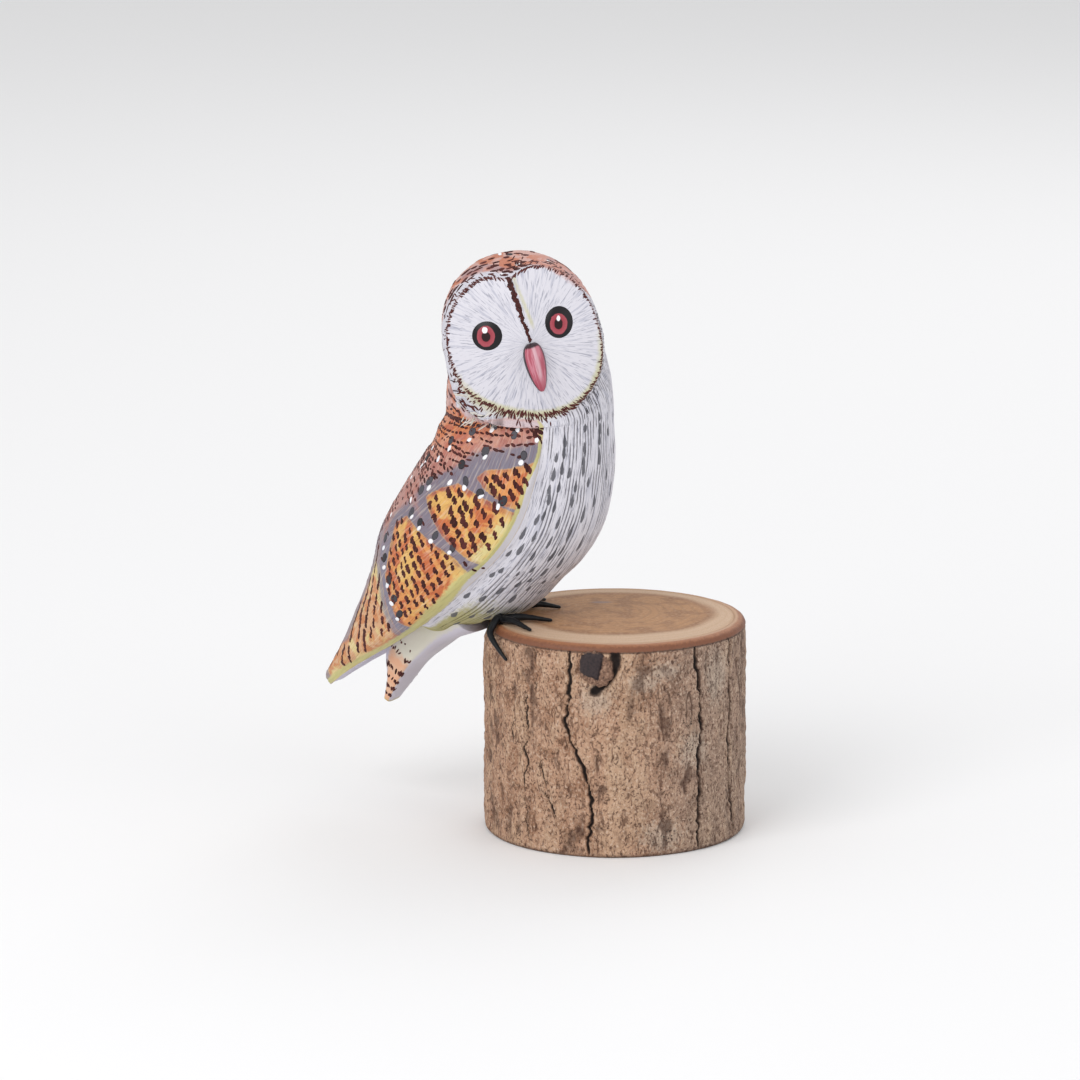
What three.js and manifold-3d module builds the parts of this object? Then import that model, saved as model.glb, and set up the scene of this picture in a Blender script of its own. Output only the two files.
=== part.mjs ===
// A hand-carved, hand-painted barn owl of light wood, glued by its feet to the edge of a short cut log.
// Millimetres, +Z up. The origin is the middle of the log's flat base, and the owl's face looks along -Y.
import * as THREE from "three";
import { mergeVertices } from "three/addons/utils/BufferGeometryUtils.js";
import Module from "manifold-3d";

const wasm = await Module();
wasm.setup();

// ------------------------------------------------------------------ driving dimensions

const GAP = 0.3; // clear space between neighbouring solids

const LOG = { radius: 32.7, height: 54, bark: 2.8, bevel: 1.7, facets: 52, rough: 0.4 };
const KNOT = { azimuth: -100, height: 48.6, radius: 3, reach: 2.2 };

// The owl's own frame has x forward along its breast, y to its left and z up.
// It is turned a little to the right of the log's front.
const OWL = { x: -26, y: 2, turn: -28 };

// Sections of the body from the neck to the wing tips, each square to the spine. A row gives its middle
// (x, y, z), half width, depth to the breast and to the back, squareness, and the angle from the breast to
// the wing edge.
const SECTIONS = [
  { x: 4.4, y: 0.8, z: 106, wide: 18.8, front: 22, back: 20.8, square: 2, edge: 51 },
  { x: 3.6, y: 0.4, z: 96.5, wide: 21.8, front: 23, back: 20.1, square: 2.1, edge: 54 },
  { x: 0.6, y: 0, z: 86.5, wide: 23, front: 24.4, back: 21.6, square: 2.1, edge: 56 },
  { x: -6, y: 0, z: 76.5, wide: 23.2, front: 22.9, back: 21.5, square: 2.1, edge: 59 },
  { x: -12, y: 0, z: 67, wide: 22, front: 20, back: 21.6, square: 2.1, edge: 65.5 },
  { x: -19, y: 0, z: 58.5, wide: 19, front: 12.2, back: 19.8, square: 2.1, edge: 69 },
  { x: -27, y: 0, z: 51, wide: 15.2, front: 12.2, back: 14.2, square: 2.1, edge: 72 },
  { x: -35, y: 0, z: 44, wide: 11.2, front: 5.6, back: 9.4, square: 2.2, edge: 76 },
  { x: -42.6, y: 0, z: 37.6, wide: 7.4, front: 3.6, back: 5.2, square: 2.3, edge: 82 },
  { x: -50.6, y: 0, z: 31, wide: 3, front: 1.8, back: 1.8, square: 2.2, edge: 88 },
];
const BELLY_END = { round: 5, tip: 5.75 }; // sections where the belly starts to round off and where it ends

const WING = { thick: 1.6, thin: 0.8, top: 0.12, full: 0.7, lip: 1.2, tip: 8.96, point: 1.2 };

// The head is a rounded drum whose front is the facial disc, turned over the owl's right shoulder.
const HEAD = {
  x: 6.1, // its middle
  y: -4,
  z: 125.3,
  turn: -62, // of the face from the breast
  lift: 5,
  roll: 17, // crown towards the owl's right
  widest: 9, // place of the widest section in front of the middle
  back: 31, // from there to the back of the skull
  over: 0.3, // skull outside the disc's rim
  crown: 3.4, // extra height over the brow, its place and width as angles
  crownAt: -0.12,
  crownWide: 0.85,
  jaw: 1.8, // fullness behind its lower right cheek
  jawAt: -2.05,
  jawWide: 0.5,
  blend: 2, // softness where head and neck meet
};
const DISC = {
  wide: 18.8, // half width and half height of its squarish outline
  tall: 19.2,
  square: 2.3,
  depth: 16.4, // of its middle in front of the head's middle
  dome: 50, // radius of its curve
  notch: 2.4, // dip of the rim at the brow, its place and width as angles
  notchAt: 0.06,
  notchWide: 0.24,
  flat: 2.8, // flatter cheek below its right eye
  flatAt: 2.55,
  flatWide: 0.6,
  ridge: 1.1, // height of the ridge from brow to beak, its place and width
  ridgeAt: 1.2,
  ridgeWide: 3,
  ridgeFoot: -19, // where it rises from the chin, is full, and dies at the brow
  ridgeFull: -8,
  ridgeHead: 19,
  ridgeFade: 7,
};
const EYES = [
  { name: "eye_right", side: -8.1, up: 4.8 },
  { name: "eye_left", side: 9.7, up: 2.9 },
];
const EYE = { radius: 3.7, depth: 1.7, sunk: 0.75, socket: 0.7, reach: 4.2 };
const BEAK = { side: 1.3, top: 0.2, length: 12.4, wide: 5.6, proud: 3.3, deep: 1.8 };

// The rump and tail hang below the joined wing tips. A row gives its middle (x, z), half width and its depths.
const TAIL = [
  { x: -12.5, z: 56.5, wide: 12, back: 5, front: 9.2 },
  { x: -18.5, z: 50.5, wide: 9.8, back: 5, front: 5.6 },
  { x: -23.2, z: 45, wide: 8.2, back: 4.4, front: 3.7 },
  { x: -27.8, z: 39.4, wide: 6.7, back: 4, front: 2.3 },
  { x: -31.4, z: 33.6, wide: 5.2, back: 2, front: 1.6 },
  { x: -34.2, z: 28.8, wide: 3.4, back: 1.1, front: 1.1 },
];

// Each foot has a hub and toes that end at (x, y); "drop" takes a toe over the rim, at "rim", and down the bark.
const FEET = [
  {
    name: "foot_right",
    x: -28.6,
    y: -8.6,
    toes: [
      { x: -21, y: -18 },
      { x: -15.8, y: -7.2 },
      { x: -26.8, y: -19.6, rim: { x: -30.2, y: -10.6 }, drop: 6.8 },
    ],
  },
  { name: "foot_left", x: -23.8, y: 6.2, toes: [{ x: -13.6, y: 7.2 }, { x: -17.4, y: 16 }] },
];
const TOE = { root: 1, tip: 0.42, hub: 1.6, arch: 0.5, bend: 1.5 };

const PAINT = {
  white: 0xe4e2e4,
  wing: 0xb9805c,
  tail: 0xd9a988,
  beak: 0xb55562,
  black: 0x17161a,
  wood: 0xb89772,
  bark: 0x8d7259,
  knot: 0x3c2e33,
};

// Facets of the rounded shapes
const HEAD_STEPS = 56;
const DISC_RINGS = [0.16, 0.36, 0.56, 0.76, 0.9, 1];
const SKULL_RINGS = [0.05, 0.13, 0.23, 0.34, 0.45, 0.56, 0.67, 0.78, 0.89, 1];
const UNDER_SHARES = [0, 0.2, 0.4, 0.6, 0.8, 1]; // across the wings' underside
const TAIL_STEPS = 24;
const BEAK_STEPS = 16;
const TOE_RINGS = 6;
const TOE_STEPS = 8;

// ------------------------------------------------------------------ small tools

const rad = THREE.MathUtils.degToRad;
const at = (x, y, z) => new THREE.Vector3(x, y, z);
const mix = THREE.MathUtils.lerp;
const ease = (value, low, high) => THREE.MathUtils.smoothstep(value, low, high);
const along = (start, direction, distance) => start.clone().addScaledVector(direction, distance);
const roundedMax = (a, b, blend) => (a + b + Math.hypot(a - b, blend)) / 2;
const owlToWorld = new THREE.Matrix4().makeRotationZ(rad(OWL.turn)).setPosition(OWL.x, OWL.y, 0);

// A closed shell through rings of points. A ring of one point is a pole.
function shellOf(rings) {
  const points = rings.flat();
  const faces = [];
  let start = 0;
  for (let k = 0; k + 1 < rings.length; k += 1) {
    const [here, next] = [rings[k].length, rings[k + 1].length];
    const after = start + here;
    const count = Math.max(here, next);
    for (let i = 0; i < count; i += 1) {
      const j = (i + 1) % count;
      if (here > 1) faces.push(start + i, start + j, after + (next > 1 ? j : 0));
      if (next > 1) faces.push(start + (here > 1 ? i : 0), after + j, after + i);
    }
    start = after;
  }
  const geometry = new THREE.BufferGeometry().setFromPoints(points);
  geometry.setIndex(faces);
  return geometry;
}

// Turns a closed geometry into a solid that faces outward.
function solidOf(geometry) {
  const clean = geometry.clone();
  clean.deleteAttribute("normal");
  clean.deleteAttribute("uv");
  const merged = mergeVertices(clean, 1e-5);
  const vertProperties = new Float32Array(merged.attributes.position.array);
  const triVerts = new Uint32Array(merged.index.array);
  const build = () => new wasm.Manifold(new wasm.Mesh({ numProp: 3, vertProperties, triVerts }));
  const solid = build();
  if (solid.volume() > 0) return solid;
  for (let i = 0; i < triVerts.length; i += 3) {
    [triVerts[i + 1], triVerts[i + 2]] = [triVerts[i + 2], triVerts[i + 1]];
  }
  return build();
}

function largest(solid) {
  return solid.decompose().reduce((best, piece) => (piece.volume() > best.volume() ? piece : best));
}

const group = new THREE.Group();
group.name = "carved_owl_on_log";

function addPart(name, solid, colour, roughness, metalness = 0) {
  const mesh = solid.getMesh();
  const geometry = new THREE.BufferGeometry();
  geometry.setAttribute("position", new THREE.BufferAttribute(new Float32Array(mesh.vertProperties), 3));
  geometry.setIndex([...mesh.triVerts]);
  geometry.computeVertexNormals();
  const material = new THREE.MeshStandardMaterial({ color: colour, roughness, metalness });
  const part = new THREE.Mesh(geometry, material);
  part.name = name;
  group.add(part);
}

// ------------------------------------------------------------------ the spine and its sections

// Catmull-Rom value of one column of SECTIONS. The spine leaves the neck straight down.
function column(place, key) {
  const last = SECTIONS.length - 1;
  const i = Math.min(Math.max(Math.floor(place), 0), last - 1);
  const t = place - i;
  const row = (k) => SECTIONS[Math.min(k, last)][key];
  const above = key === "z" ? 2 * row(0) - row(1) : row(1);
  const [p0, p1, p2, p3] = [i > 0 ? row(i - 1) : above, row(i), row(i + 1), row(i + 2)];
  const bend = 2 * p0 - 5 * p1 + 4 * p2 - p3;
  return 0.5 * (2 * p1 + (p2 - p0) * t + bend * t * t + (3 * p1 - p0 - 3 * p2 + p3) * t ** 3);
}

const spineAt = (place) => at(column(place, "x"), column(place, "y"), column(place, "z"));

function frameAt(place) {
  const step = 0.001;
  const tangent = spineAt(place + step).sub(spineAt(place - step)).normalize();
  const front = at(0, 1, 0).cross(tangent).negate().normalize();
  const left = front.clone().cross(tangent);
  return { middle: spineAt(place), front, left };
}

// Half-axes of a section joined as a superellipse; angle 0 is the breast and +90 the owl's left.
function sectionRadius(place, angle) {
  const depth = column(place, Math.cos(angle) > 0 ? "front" : "back");
  const square = column(place, "square");
  const across = Math.abs(Math.sin(angle)) / column(place, "wide");
  return (across ** square + (Math.abs(Math.cos(angle)) / depth) ** square) ** (-1 / square);
}

// ------------------------------------------------------------------ the head and its facial disc

const turned = rad(HEAD.turn);
const lifted = rad(HEAD.lift);
const faceAhead = at(Math.cos(turned), Math.sin(turned), 0);
const faceOut = faceAhead.clone().multiplyScalar(Math.cos(lifted)).add(at(0, 0, Math.sin(lifted)));
const faceLeft = at(0, 0, 1).cross(faceAhead);
const faceUp = faceOut.clone().cross(faceLeft);
const discLeft = faceLeft.clone().applyAxisAngle(faceOut, rad(HEAD.roll));
const discUp = faceUp.clone().applyAxisAngle(faceOut, rad(HEAD.roll));
const headMiddle = at(HEAD.x, HEAD.y, HEAD.z);

const bump = (value, width) => Math.exp(-((value / width) ** 2));
const wrap = (angle) => Math.atan2(Math.sin(angle), Math.cos(angle));

// Squarish outline of the face round its own axis.
function outline(angle) {
  const across = (Math.abs(Math.sin(angle)) / DISC.wide) ** DISC.square;
  const upright = (Math.abs(Math.cos(angle)) / DISC.tall) ** DISC.square;
  return (across + upright) ** (-1 / DISC.square);
}

// The disc's rim dips at the brow and is carved flatter at its lower right cheek.
function discRadius(side, up) {
  const angle = Math.atan2(side, up);
  const brow = DISC.notch * bump(angle - DISC.notchAt, DISC.notchWide);
  return outline(angle) - brow - DISC.flat * bump(wrap(angle + DISC.flatAt), DISC.flatWide);
}

// The skull's widest section, a little outside the rim and rising into the crown.
function skullRadius(side, up) {
  const angle = Math.atan2(side, up);
  const jaw = HEAD.jaw * bump(wrap(angle - HEAD.jawAt), HEAD.jawWide);
  return outline(angle) + HEAD.over + HEAD.crown * bump(angle - HEAD.crownAt, HEAD.crownWide) + jaw;
}

// How far the face stands out from the head's middle: a shallow dome with a ridge down it and two sockets.
function faceDepth(side, up) {
  const dome = DISC.depth - (side ** 2 + up ** 2) / (2 * DISC.dome);
  const fade = ease(up, DISC.ridgeFoot, DISC.ridgeFull) * ease(DISC.ridgeHead - up, 0, DISC.ridgeFade);
  const ridge = DISC.ridge * bump(side - DISC.ridgeAt, DISC.ridgeWide) * fade;
  const socket = (eye) => EYE.socket * bump(Math.hypot(side - eye.side, up - eye.up), EYE.reach);
  return dome + ridge - socket(EYES[0]) - socket(EYES[1]);
}

function onDisc(side, up, out) {
  const across = discLeft.clone().multiplyScalar(side).addScaledVector(discUp, up);
  return headMiddle.clone().add(across).addScaledVector(faceOut, out);
}

function insideHead(point) {
  const q = point.clone().sub(headMiddle);
  const [side, up, out] = [q.dot(discLeft), q.dot(discUp), q.dot(faceOut)];
  const behind = Math.max(HEAD.widest - out, 0) / HEAD.back;
  const across = Math.hypot(side, up) / skullRadius(side, up);
  return across ** 2 + behind ** 2 < 1 && out < DISC.depth;
}

// The top of the neck is a low dome over the first section, and the head sinks into it.
const NECK_RISE = 33;
const NECK_GAP = 0.04; // sections between the head and the trunk
function insideNeck(point) {
  const q = point.clone().sub(spineAt(0));
  const rise = Math.max(q.z, 0) / NECK_RISE;
  return (Math.hypot(q.x, q.y) / sectionRadius(0, Math.atan2(q.y, q.x))) ** 2 + rise ** 2 < 1;
}

// Distance along a ray to the last place where it leaves a shape.
function lastExit(start, direction, inside) {
  let far = 48;
  while (far > 0 && !inside(along(start, direction, far))) far -= 1;
  if (far <= 0) return -30;
  let [near, beyond] = [far, far + 1];
  for (let k = 0; k < 14; k += 1) {
    const middle = (near + beyond) / 2;
    if (inside(along(start, direction, middle))) near = middle;
    else beyond = middle;
  }
  return near;
}

// Sections of the head swing about a hinge just under the chin, from the disc's rim round to the neck.
const hingeReach = sectionRadius(0, turned) + 0.4;
const hinge = along(spineAt(0), faceAhead, hingeReach);
const SWING = { start: 10, end: 90 - HEAD.lift, reach: 20.5 }; // degrees, and the first section's reach up

function headPoint(share, angle) {
  const swing = rad(mix(SWING.start, SWING.end, share));
  const rise = faceUp.clone().multiplyScalar(Math.cos(swing)).addScaledVector(faceOut, -Math.sin(swing));
  const middle = along(hinge, rise, mix(SWING.reach, hingeReach, share));
  const round = angle - turned;
  const direction = rise.clone().multiplyScalar(-Math.cos(round)).addScaledVector(faceLeft, Math.sin(round));
  const head = lastExit(middle, direction, insideHead);
  const neck = lastExit(middle, direction, insideNeck);
  return along(middle, direction, roundedMax(head, neck, HEAD.blend));
}

function rimPoint(share, angle) {
  const round = angle - turned - rad(HEAD.roll);
  const [side, up] = [Math.sin(round), -Math.cos(round)];
  const radius = discRadius(side, up) * share;
  return onDisc(side * radius, up * radius, faceDepth(side * radius, up * radius));
}

// ------------------------------------------------------------------ rings of the body

const FRONT_STEPS = 14; // facets across the breast
const BACK_STEPS = 26; // facets round the back

function ringAngles(place) {
  const edge = rad(column(Math.max(place, 0), "edge"));
  const angles = [];
  for (let i = 0; i < FRONT_STEPS; i += 1) angles.push(mix(-edge, edge, i / FRONT_STEPS));
  for (let i = 0; i < BACK_STEPS; i += 1) angles.push(mix(edge, 2 * Math.PI - edge, i / BACK_STEPS));
  return angles;
}

function bodyRing(place, angles, extra) {
  const { middle, front, left } = frameAt(place);
  return angles.map((angle) => {
    const direction = front.clone().multiplyScalar(Math.cos(angle)).addScaledVector(left, Math.sin(angle));
    const own = sectionRadius(place, angle);
    const head = middle.z > 98 ? lastExit(middle, direction, insideHead) : -30;
    return along(middle, direction, roundedMax(own, head, HEAD.blend) + extra(angle, own));
  });
}

// The trunk from the neck to the rounded belly end, grown by an extra amount all over.
function trunkShell(grow) {
  const rings = [[along(spineAt(NECK_GAP), at(0, 0, 1), grow)]];
  const places = [NECK_GAP, 0.4, 0.9, 1.4, 1.9, 2.4, 2.9, 3.4, 3.9, 4.3, 4.7, BELLY_END.round];
  for (const place of places) rings.push(bodyRing(place, ringAngles(place), () => grow));
  const span = BELLY_END.tip - BELLY_END.round;
  for (const share of [0.35, 0.62, 0.82, 0.95]) {
    const place = BELLY_END.round + span * share;
    const shrink = Math.sqrt(1 - share ** 2);
    rings.push(bodyRing(place, ringAngles(place), (angle, own) => own * (shrink - 1) + grow));
  }
  const end = spineAt(BELLY_END.tip);
  const run = end.clone().sub(spineAt(BELLY_END.tip - 0.1)).normalize();
  rings.push([along(end, run, grow)]);
  return shellOf(rings);
}

// Both wings as one cloak. Its flat front, hidden in the trunk, becomes its underside behind the belly.
function cloakShell(grow) {
  const places = [WING.top, 0.5, 0.9, 1.4, 2, 2.7, 3.4, 4.1, 4.8, 5.5, 6.2, 6.9, 7.6, 8.3, WING.tip];
  const rings = places.map((place) => {
    const edge = rad(column(place, "edge"));
    const angles = [...ringAngles(place).slice(FRONT_STEPS), 2 * Math.PI - edge];
    const rise = mix(WING.thin, WING.thick, ease(place, WING.top, WING.full));
    const outer = bodyRing(place, angles, () => rise + grow);
    const [right, left] = bodyRing(place, [-edge, edge], (angle, own) => -Math.min(WING.lip, own * 0.3));
    const { front } = frameAt(place);
    const under = UNDER_SHARES.map((share) => along(right.clone().lerp(left, share), front, grow));
    return [...outer, ...under];
  });
  const centre = (ring) => ring.reduce((sum, p) => sum.add(p), at(0, 0, 0)).divideScalar(ring.length);
  const run = spineAt(WING.tip).sub(spineAt(WING.tip - 0.1)).normalize();
  const tip = along(centre(rings[rings.length - 1]), run, WING.point + grow);
  return shellOf([[centre(rings[0])], ...rings, [tip]]);
}

function headShell() {
  const angles = Array.from({ length: HEAD_STEPS }, (_, i) => (i / HEAD_STEPS) * 2 * Math.PI);
  const rings = [[rimPoint(0, 0)]];
  for (const share of DISC_RINGS) rings.push(angles.map((angle) => rimPoint(share, angle)));
  for (const share of SKULL_RINGS) rings.push(angles.map((angle) => headPoint(share, angle)));
  rings.push([spineAt(0)]);
  return shellOf(rings);
}

function tailShell() {
  const rings = TAIL.map((row, k) => {
    const [before, after] = [TAIL[Math.max(k - 1, 0)], TAIL[Math.min(k + 1, TAIL.length - 1)]];
    const run = at(after.x - before.x, 0, after.z - before.z).normalize();
    const back = at(0, 1, 0).cross(run);
    const ring = [];
    for (let i = 0; i < TAIL_STEPS; i += 1) {
      const angle = (i / TAIL_STEPS) * 2 * Math.PI;
      const across = Math.sign(Math.cos(angle)) * Math.abs(Math.cos(angle)) ** 0.6 * row.wide;
      const depth = Math.sin(angle) > 0 ? row.back : row.front;
      const deep = Math.sign(Math.sin(angle)) * Math.abs(Math.sin(angle)) ** 0.6 * depth;
      ring.push(at(row.x, across, row.z).addScaledVector(back, deep));
    }
    return ring;
  });
  const [root, end] = [TAIL[0], TAIL[TAIL.length - 1]];
  return shellOf([[at(root.x, 0, root.z)], ...rings, [at(end.x - 0.5, 0, end.z - 0.9)]]);
}

// ------------------------------------------------------------------ eyes and beak

function eyeShell(eye, grow) {
  const lens = new THREE.SphereGeometry(1, 18, 8);
  lens.scale(EYE.radius + grow, EYE.radius + grow, EYE.depth + grow);
  const turn = new THREE.Matrix4().makeBasis(discLeft, discUp, faceOut);
  const place = onDisc(eye.side, eye.up, faceDepth(eye.side, eye.up) - EYE.sunk);
  return lens.applyMatrix4(turn.setPosition(place));
}

// The beak lies down the face: a rounded wedge, widest a quarter of the way to its blunt tip.
function beakShell(grow) {
  const point = (share) => onDisc(BEAK.side, BEAK.top - BEAK.length * share, 0);
  const rings = [0.03, 0.1, 0.22, 0.38, 0.55, 0.72, 0.86, 0.95].map((share) => {
    const up = BEAK.top - BEAK.length * share;
    const wide = (BEAK.wide / 2) * Math.sin(Math.PI * share ** 0.72) ** 0.45 * (1 - 0.18 * share) + grow;
    const proud = BEAK.proud * Math.sqrt(Math.sin(Math.PI * share ** 0.6)) + grow;
    const ring = [];
    for (let i = 0; i < BEAK_STEPS; i += 1) {
      const angle = (i / BEAK_STEPS) * 2 * Math.PI;
      const out = Math.sin(angle) * (Math.sin(angle) > 0 ? proud : BEAK.deep + grow);
      ring.push(onDisc(BEAK.side + Math.cos(angle) * wide, up, faceDepth(BEAK.side, up) + out));
    }
    return ring;
  });
  const ends = [-grow / BEAK.length, 1 + grow / BEAK.length].map((share) => {
    const up = BEAK.top - BEAK.length * share;
    return along(point(share), faceOut, faceDepth(BEAK.side, up));
  });
  return shellOf([[ends[0]], ...rings, [ends[1]]]);
}

// ------------------------------------------------------------------ feet

// One toe from the hub to its end, tapering, with a low arch. "drop" bends it over the rim and down the bark.
function toeShell(foot, toe, grow) {
  const [root, tip] = [TOE.root + grow, TOE.tip + grow];
  const floor = LOG.height + GAP;
  const points = [at(foot.x, foot.y, floor + TOE.root)];
  if (toe.drop) {
    const [from, to] = [Math.atan2(toe.rim.y, toe.rim.x), Math.atan2(toe.y, toe.x)];
    const out = (share, radius, z) => {
      const angle = mix(from, to, share);
      return at(Math.cos(angle) * radius, Math.sin(angle) * radius, z);
    };
    const wall = LOG.radius + LOG.rough + GAP;
    points.push(out(0, wall - TOE.bend, floor + TOE.root + 0.4));
    points.push(out(0.22, wall + TOE.root + 0.1, floor - TOE.bend));
    points.push(out(1, wall + TOE.tip + 0.4, floor - toe.drop));
  } else {
    points.push(at(mix(foot.x, toe.x, 0.45), mix(foot.y, toe.y, 0.45), floor + TOE.root + TOE.arch));
    points.push(at(toe.x, toe.y, floor + TOE.tip));
  }
  const path = new THREE.CatmullRomCurve3(points);
  const frames = path.computeFrenetFrames(TOE_RINGS);
  const rings = [];
  for (let k = 0; k <= TOE_RINGS; k += 1) {
    const share = k / TOE_RINGS;
    const radius = mix(root, tip, share ** 1.3);
    const ring = [];
    for (let i = 0; i < TOE_STEPS; i += 1) {
      const angle = (i / TOE_STEPS) * 2 * Math.PI;
      const across = frames.normals[k].clone().multiplyScalar(Math.cos(angle) * radius);
      across.addScaledVector(frames.binormals[k], Math.sin(angle) * radius);
      ring.push(path.getPointAt(share).add(across));
    }
    rings.push(ring);
  }
  const [first, last] = [points[0], points[points.length - 1]];
  return shellOf([[first], ...rings, [along(last, frames.tangents[TOE_RINGS], tip * 0.7)]]);
}

function footSolid(foot, grow) {
  const hub = new THREE.SphereGeometry(1, 12, 6);
  hub.scale(TOE.hub + grow, TOE.hub + grow, TOE.root + grow);
  hub.translate(foot.x, foot.y, LOG.height + GAP + TOE.root);
  let solid = solidOf(hub);
  for (const toe of foot.toes) solid = solid.add(solidOf(toeShell(foot, toe, grow)));
  return solid;
}

// ------------------------------------------------------------------ the log

// The bark swells and dips in broad waves that lean a little as they climb.
function barkWave(angle, z) {
  const broad = Math.sin(3 * angle + 0.9);
  const ribs = 0.6 * Math.sin(7 * angle + z / 11) + 0.4 * Math.sin(13 * angle - z / 7);
  return (LOG.rough / 2) * (broad + ribs);
}

function roundRing(radius, z, rough) {
  const ring = [];
  for (let i = 0; i < LOG.facets; i += 1) {
    const angle = (i / LOG.facets) * 2 * Math.PI;
    const reach = radius + (rough ? barkWave(angle, z) : 0);
    ring.push(at(reach * Math.cos(angle), reach * Math.sin(angle), z));
  }
  return ring;
}

function logShell(radius, bevel, rough) {
  const rings = [roundRing(radius, 0, rough)];
  const wall = LOG.height - bevel;
  if (rough) for (const share of [0.2, 0.4, 0.6, 0.8]) rings.push(roundRing(radius, wall * share, true));
  rings.push(roundRing(radius, wall, rough));
  if (bevel) rings.push(roundRing(radius - bevel, LOG.height, false));
  const top = bevel ? LOG.height : wall;
  return shellOf([[at(0, 0, 0)], ...rings, [at(0, 0, top)]]);
}

function knotShell(grow) {
  const stub = new THREE.SphereGeometry(1, 16, 10);
  stub.scale(KNOT.reach + grow, KNOT.radius + grow, KNOT.radius * 1.15 + grow);
  const angle = rad(KNOT.azimuth);
  stub.rotateZ(angle);
  const reach = LOG.radius - KNOT.reach * 0.35;
  return stub.translate(reach * Math.cos(angle), reach * Math.sin(angle), KNOT.height);
}

// ------------------------------------------------------------------ assembly

const inOwl = (geometry) => solidOf(geometry.applyMatrix4(owlToWorld));

const feet = FEET.map((foot) => footSolid(foot, 0));
const feetRoom = FEET.map((foot) => footSolid(foot, GAP));
const eyes = EYES.map((eye) => inOwl(eyeShell(eye, 0)));
const beak = inOwl(beakShell(0));
const trunkRoom = inOwl(trunkShell(GAP));
const cloakRoom = inOwl(cloakShell(GAP));

let head = inOwl(headShell()).subtract(trunkRoom).subtract(inOwl(beakShell(GAP)));
for (const eye of EYES) head = head.subtract(inOwl(eyeShell(eye, GAP)));
addPart("head", largest(head), PAINT.white, 0.6);
addPart("beak", beak, PAINT.beak, 0.4);
EYES.forEach((eye, k) => addPart(eye.name, eyes[k], PAINT.black, 0.25));

const logRoom = new THREE.CylinderGeometry(1, 1, LOG.height + GAP, LOG.facets);
const reach = LOG.radius + LOG.rough + GAP;
logRoom.rotateX(Math.PI / 2).scale(reach, reach, 1).translate(0, 0, (LOG.height + GAP) / 2);
const rooms = [...feetRoom, solidOf(logRoom)];
const trunk = rooms.reduce((solid, room) => solid.subtract(room), inOwl(trunkShell(0)));
addPart("trunk", largest(trunk), PAINT.white, 0.6);

const slit = new THREE.BoxGeometry(200, GAP, 300);
const wings = inOwl(cloakShell(0)).subtract(trunkRoom).subtract(inOwl(slit));
const halves = wings.decompose().sort((a, b) => b.volume() - a.volume()).slice(0, 2);
halves.sort((a, b) => a.boundingBox().min[1] - b.boundingBox().min[1]);
["wing_right", "wing_left"].forEach((name, k) => addPart(name, halves[k], PAINT.wing, 0.6));

const tail = inOwl(tailShell()).subtract(trunkRoom).subtract(cloakRoom).subtract(solidOf(logRoom));
addPart("tail", largest(tail), PAINT.tail, 0.6);
FEET.forEach((foot, k) => addPart(foot.name, feet[k], PAINT.black, 0.45));

const core = solidOf(logShell(LOG.radius - LOG.bark, 0, false));
const coreRoom = new THREE.CylinderGeometry(1, 1, LOG.height * 2, LOG.facets);
const roomRadius = LOG.radius - LOG.bark + GAP;
coreRoom.rotateX(Math.PI / 2).scale(roomRadius, roomRadius, 1).translate(0, 0, LOG.height / 2);
const bark = solidOf(logShell(LOG.radius, LOG.bevel, true)).subtract(solidOf(coreRoom));
addPart("log_wood", core, PAINT.wood, 0.7);
addPart("log_bark", largest(bark.subtract(solidOf(knotShell(GAP)))), PAINT.bark, 0.9);
addPart("log_knot", solidOf(knotShell(0)).subtract(solidOf(coreRoom)), PAINT.knot, 0.8);

export default group;
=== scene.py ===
# %% [markdown]
# # A carved and painted barn owl on a cut log
# The real object is a hand-sized figurine. The owl is one block of light wood, carved with knife and
# V-gouge, painted with acrylics, and glued by two black wire feet to the edge of a short log that keeps
# its bark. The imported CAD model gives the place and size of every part. This file gives the parts their
# looks: one carved skin for the whole bird, the brush strokes on it, the domed eyes, the beak, the feet,
# the bark and the end grain.

import math

import bpy
import numpy as np
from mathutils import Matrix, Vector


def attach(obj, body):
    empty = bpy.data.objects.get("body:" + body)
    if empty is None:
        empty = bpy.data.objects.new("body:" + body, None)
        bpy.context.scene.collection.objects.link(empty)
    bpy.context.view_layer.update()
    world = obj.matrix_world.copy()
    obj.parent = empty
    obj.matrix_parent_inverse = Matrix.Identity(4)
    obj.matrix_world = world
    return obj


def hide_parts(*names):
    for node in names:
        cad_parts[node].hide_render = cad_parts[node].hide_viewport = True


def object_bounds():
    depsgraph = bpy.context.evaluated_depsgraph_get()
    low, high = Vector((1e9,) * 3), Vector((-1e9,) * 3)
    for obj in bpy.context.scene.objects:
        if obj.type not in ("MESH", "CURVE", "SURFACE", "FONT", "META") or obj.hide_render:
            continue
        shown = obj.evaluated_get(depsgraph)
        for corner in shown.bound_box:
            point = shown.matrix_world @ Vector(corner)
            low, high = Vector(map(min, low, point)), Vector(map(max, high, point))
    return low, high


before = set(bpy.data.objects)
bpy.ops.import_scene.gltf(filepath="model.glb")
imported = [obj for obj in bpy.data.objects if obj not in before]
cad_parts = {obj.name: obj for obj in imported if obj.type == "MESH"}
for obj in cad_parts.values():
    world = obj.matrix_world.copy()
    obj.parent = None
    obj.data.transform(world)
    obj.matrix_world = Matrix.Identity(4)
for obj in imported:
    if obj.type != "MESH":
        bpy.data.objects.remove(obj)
cad_low, cad_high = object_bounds()
MM = 0.001  # the CAD sizes below are millimetres and Blender's are metres
print("CAD box, mm:", [round(v / MM, 1) for v in cad_low], [round(v / MM, 1) for v in cad_high])

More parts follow.
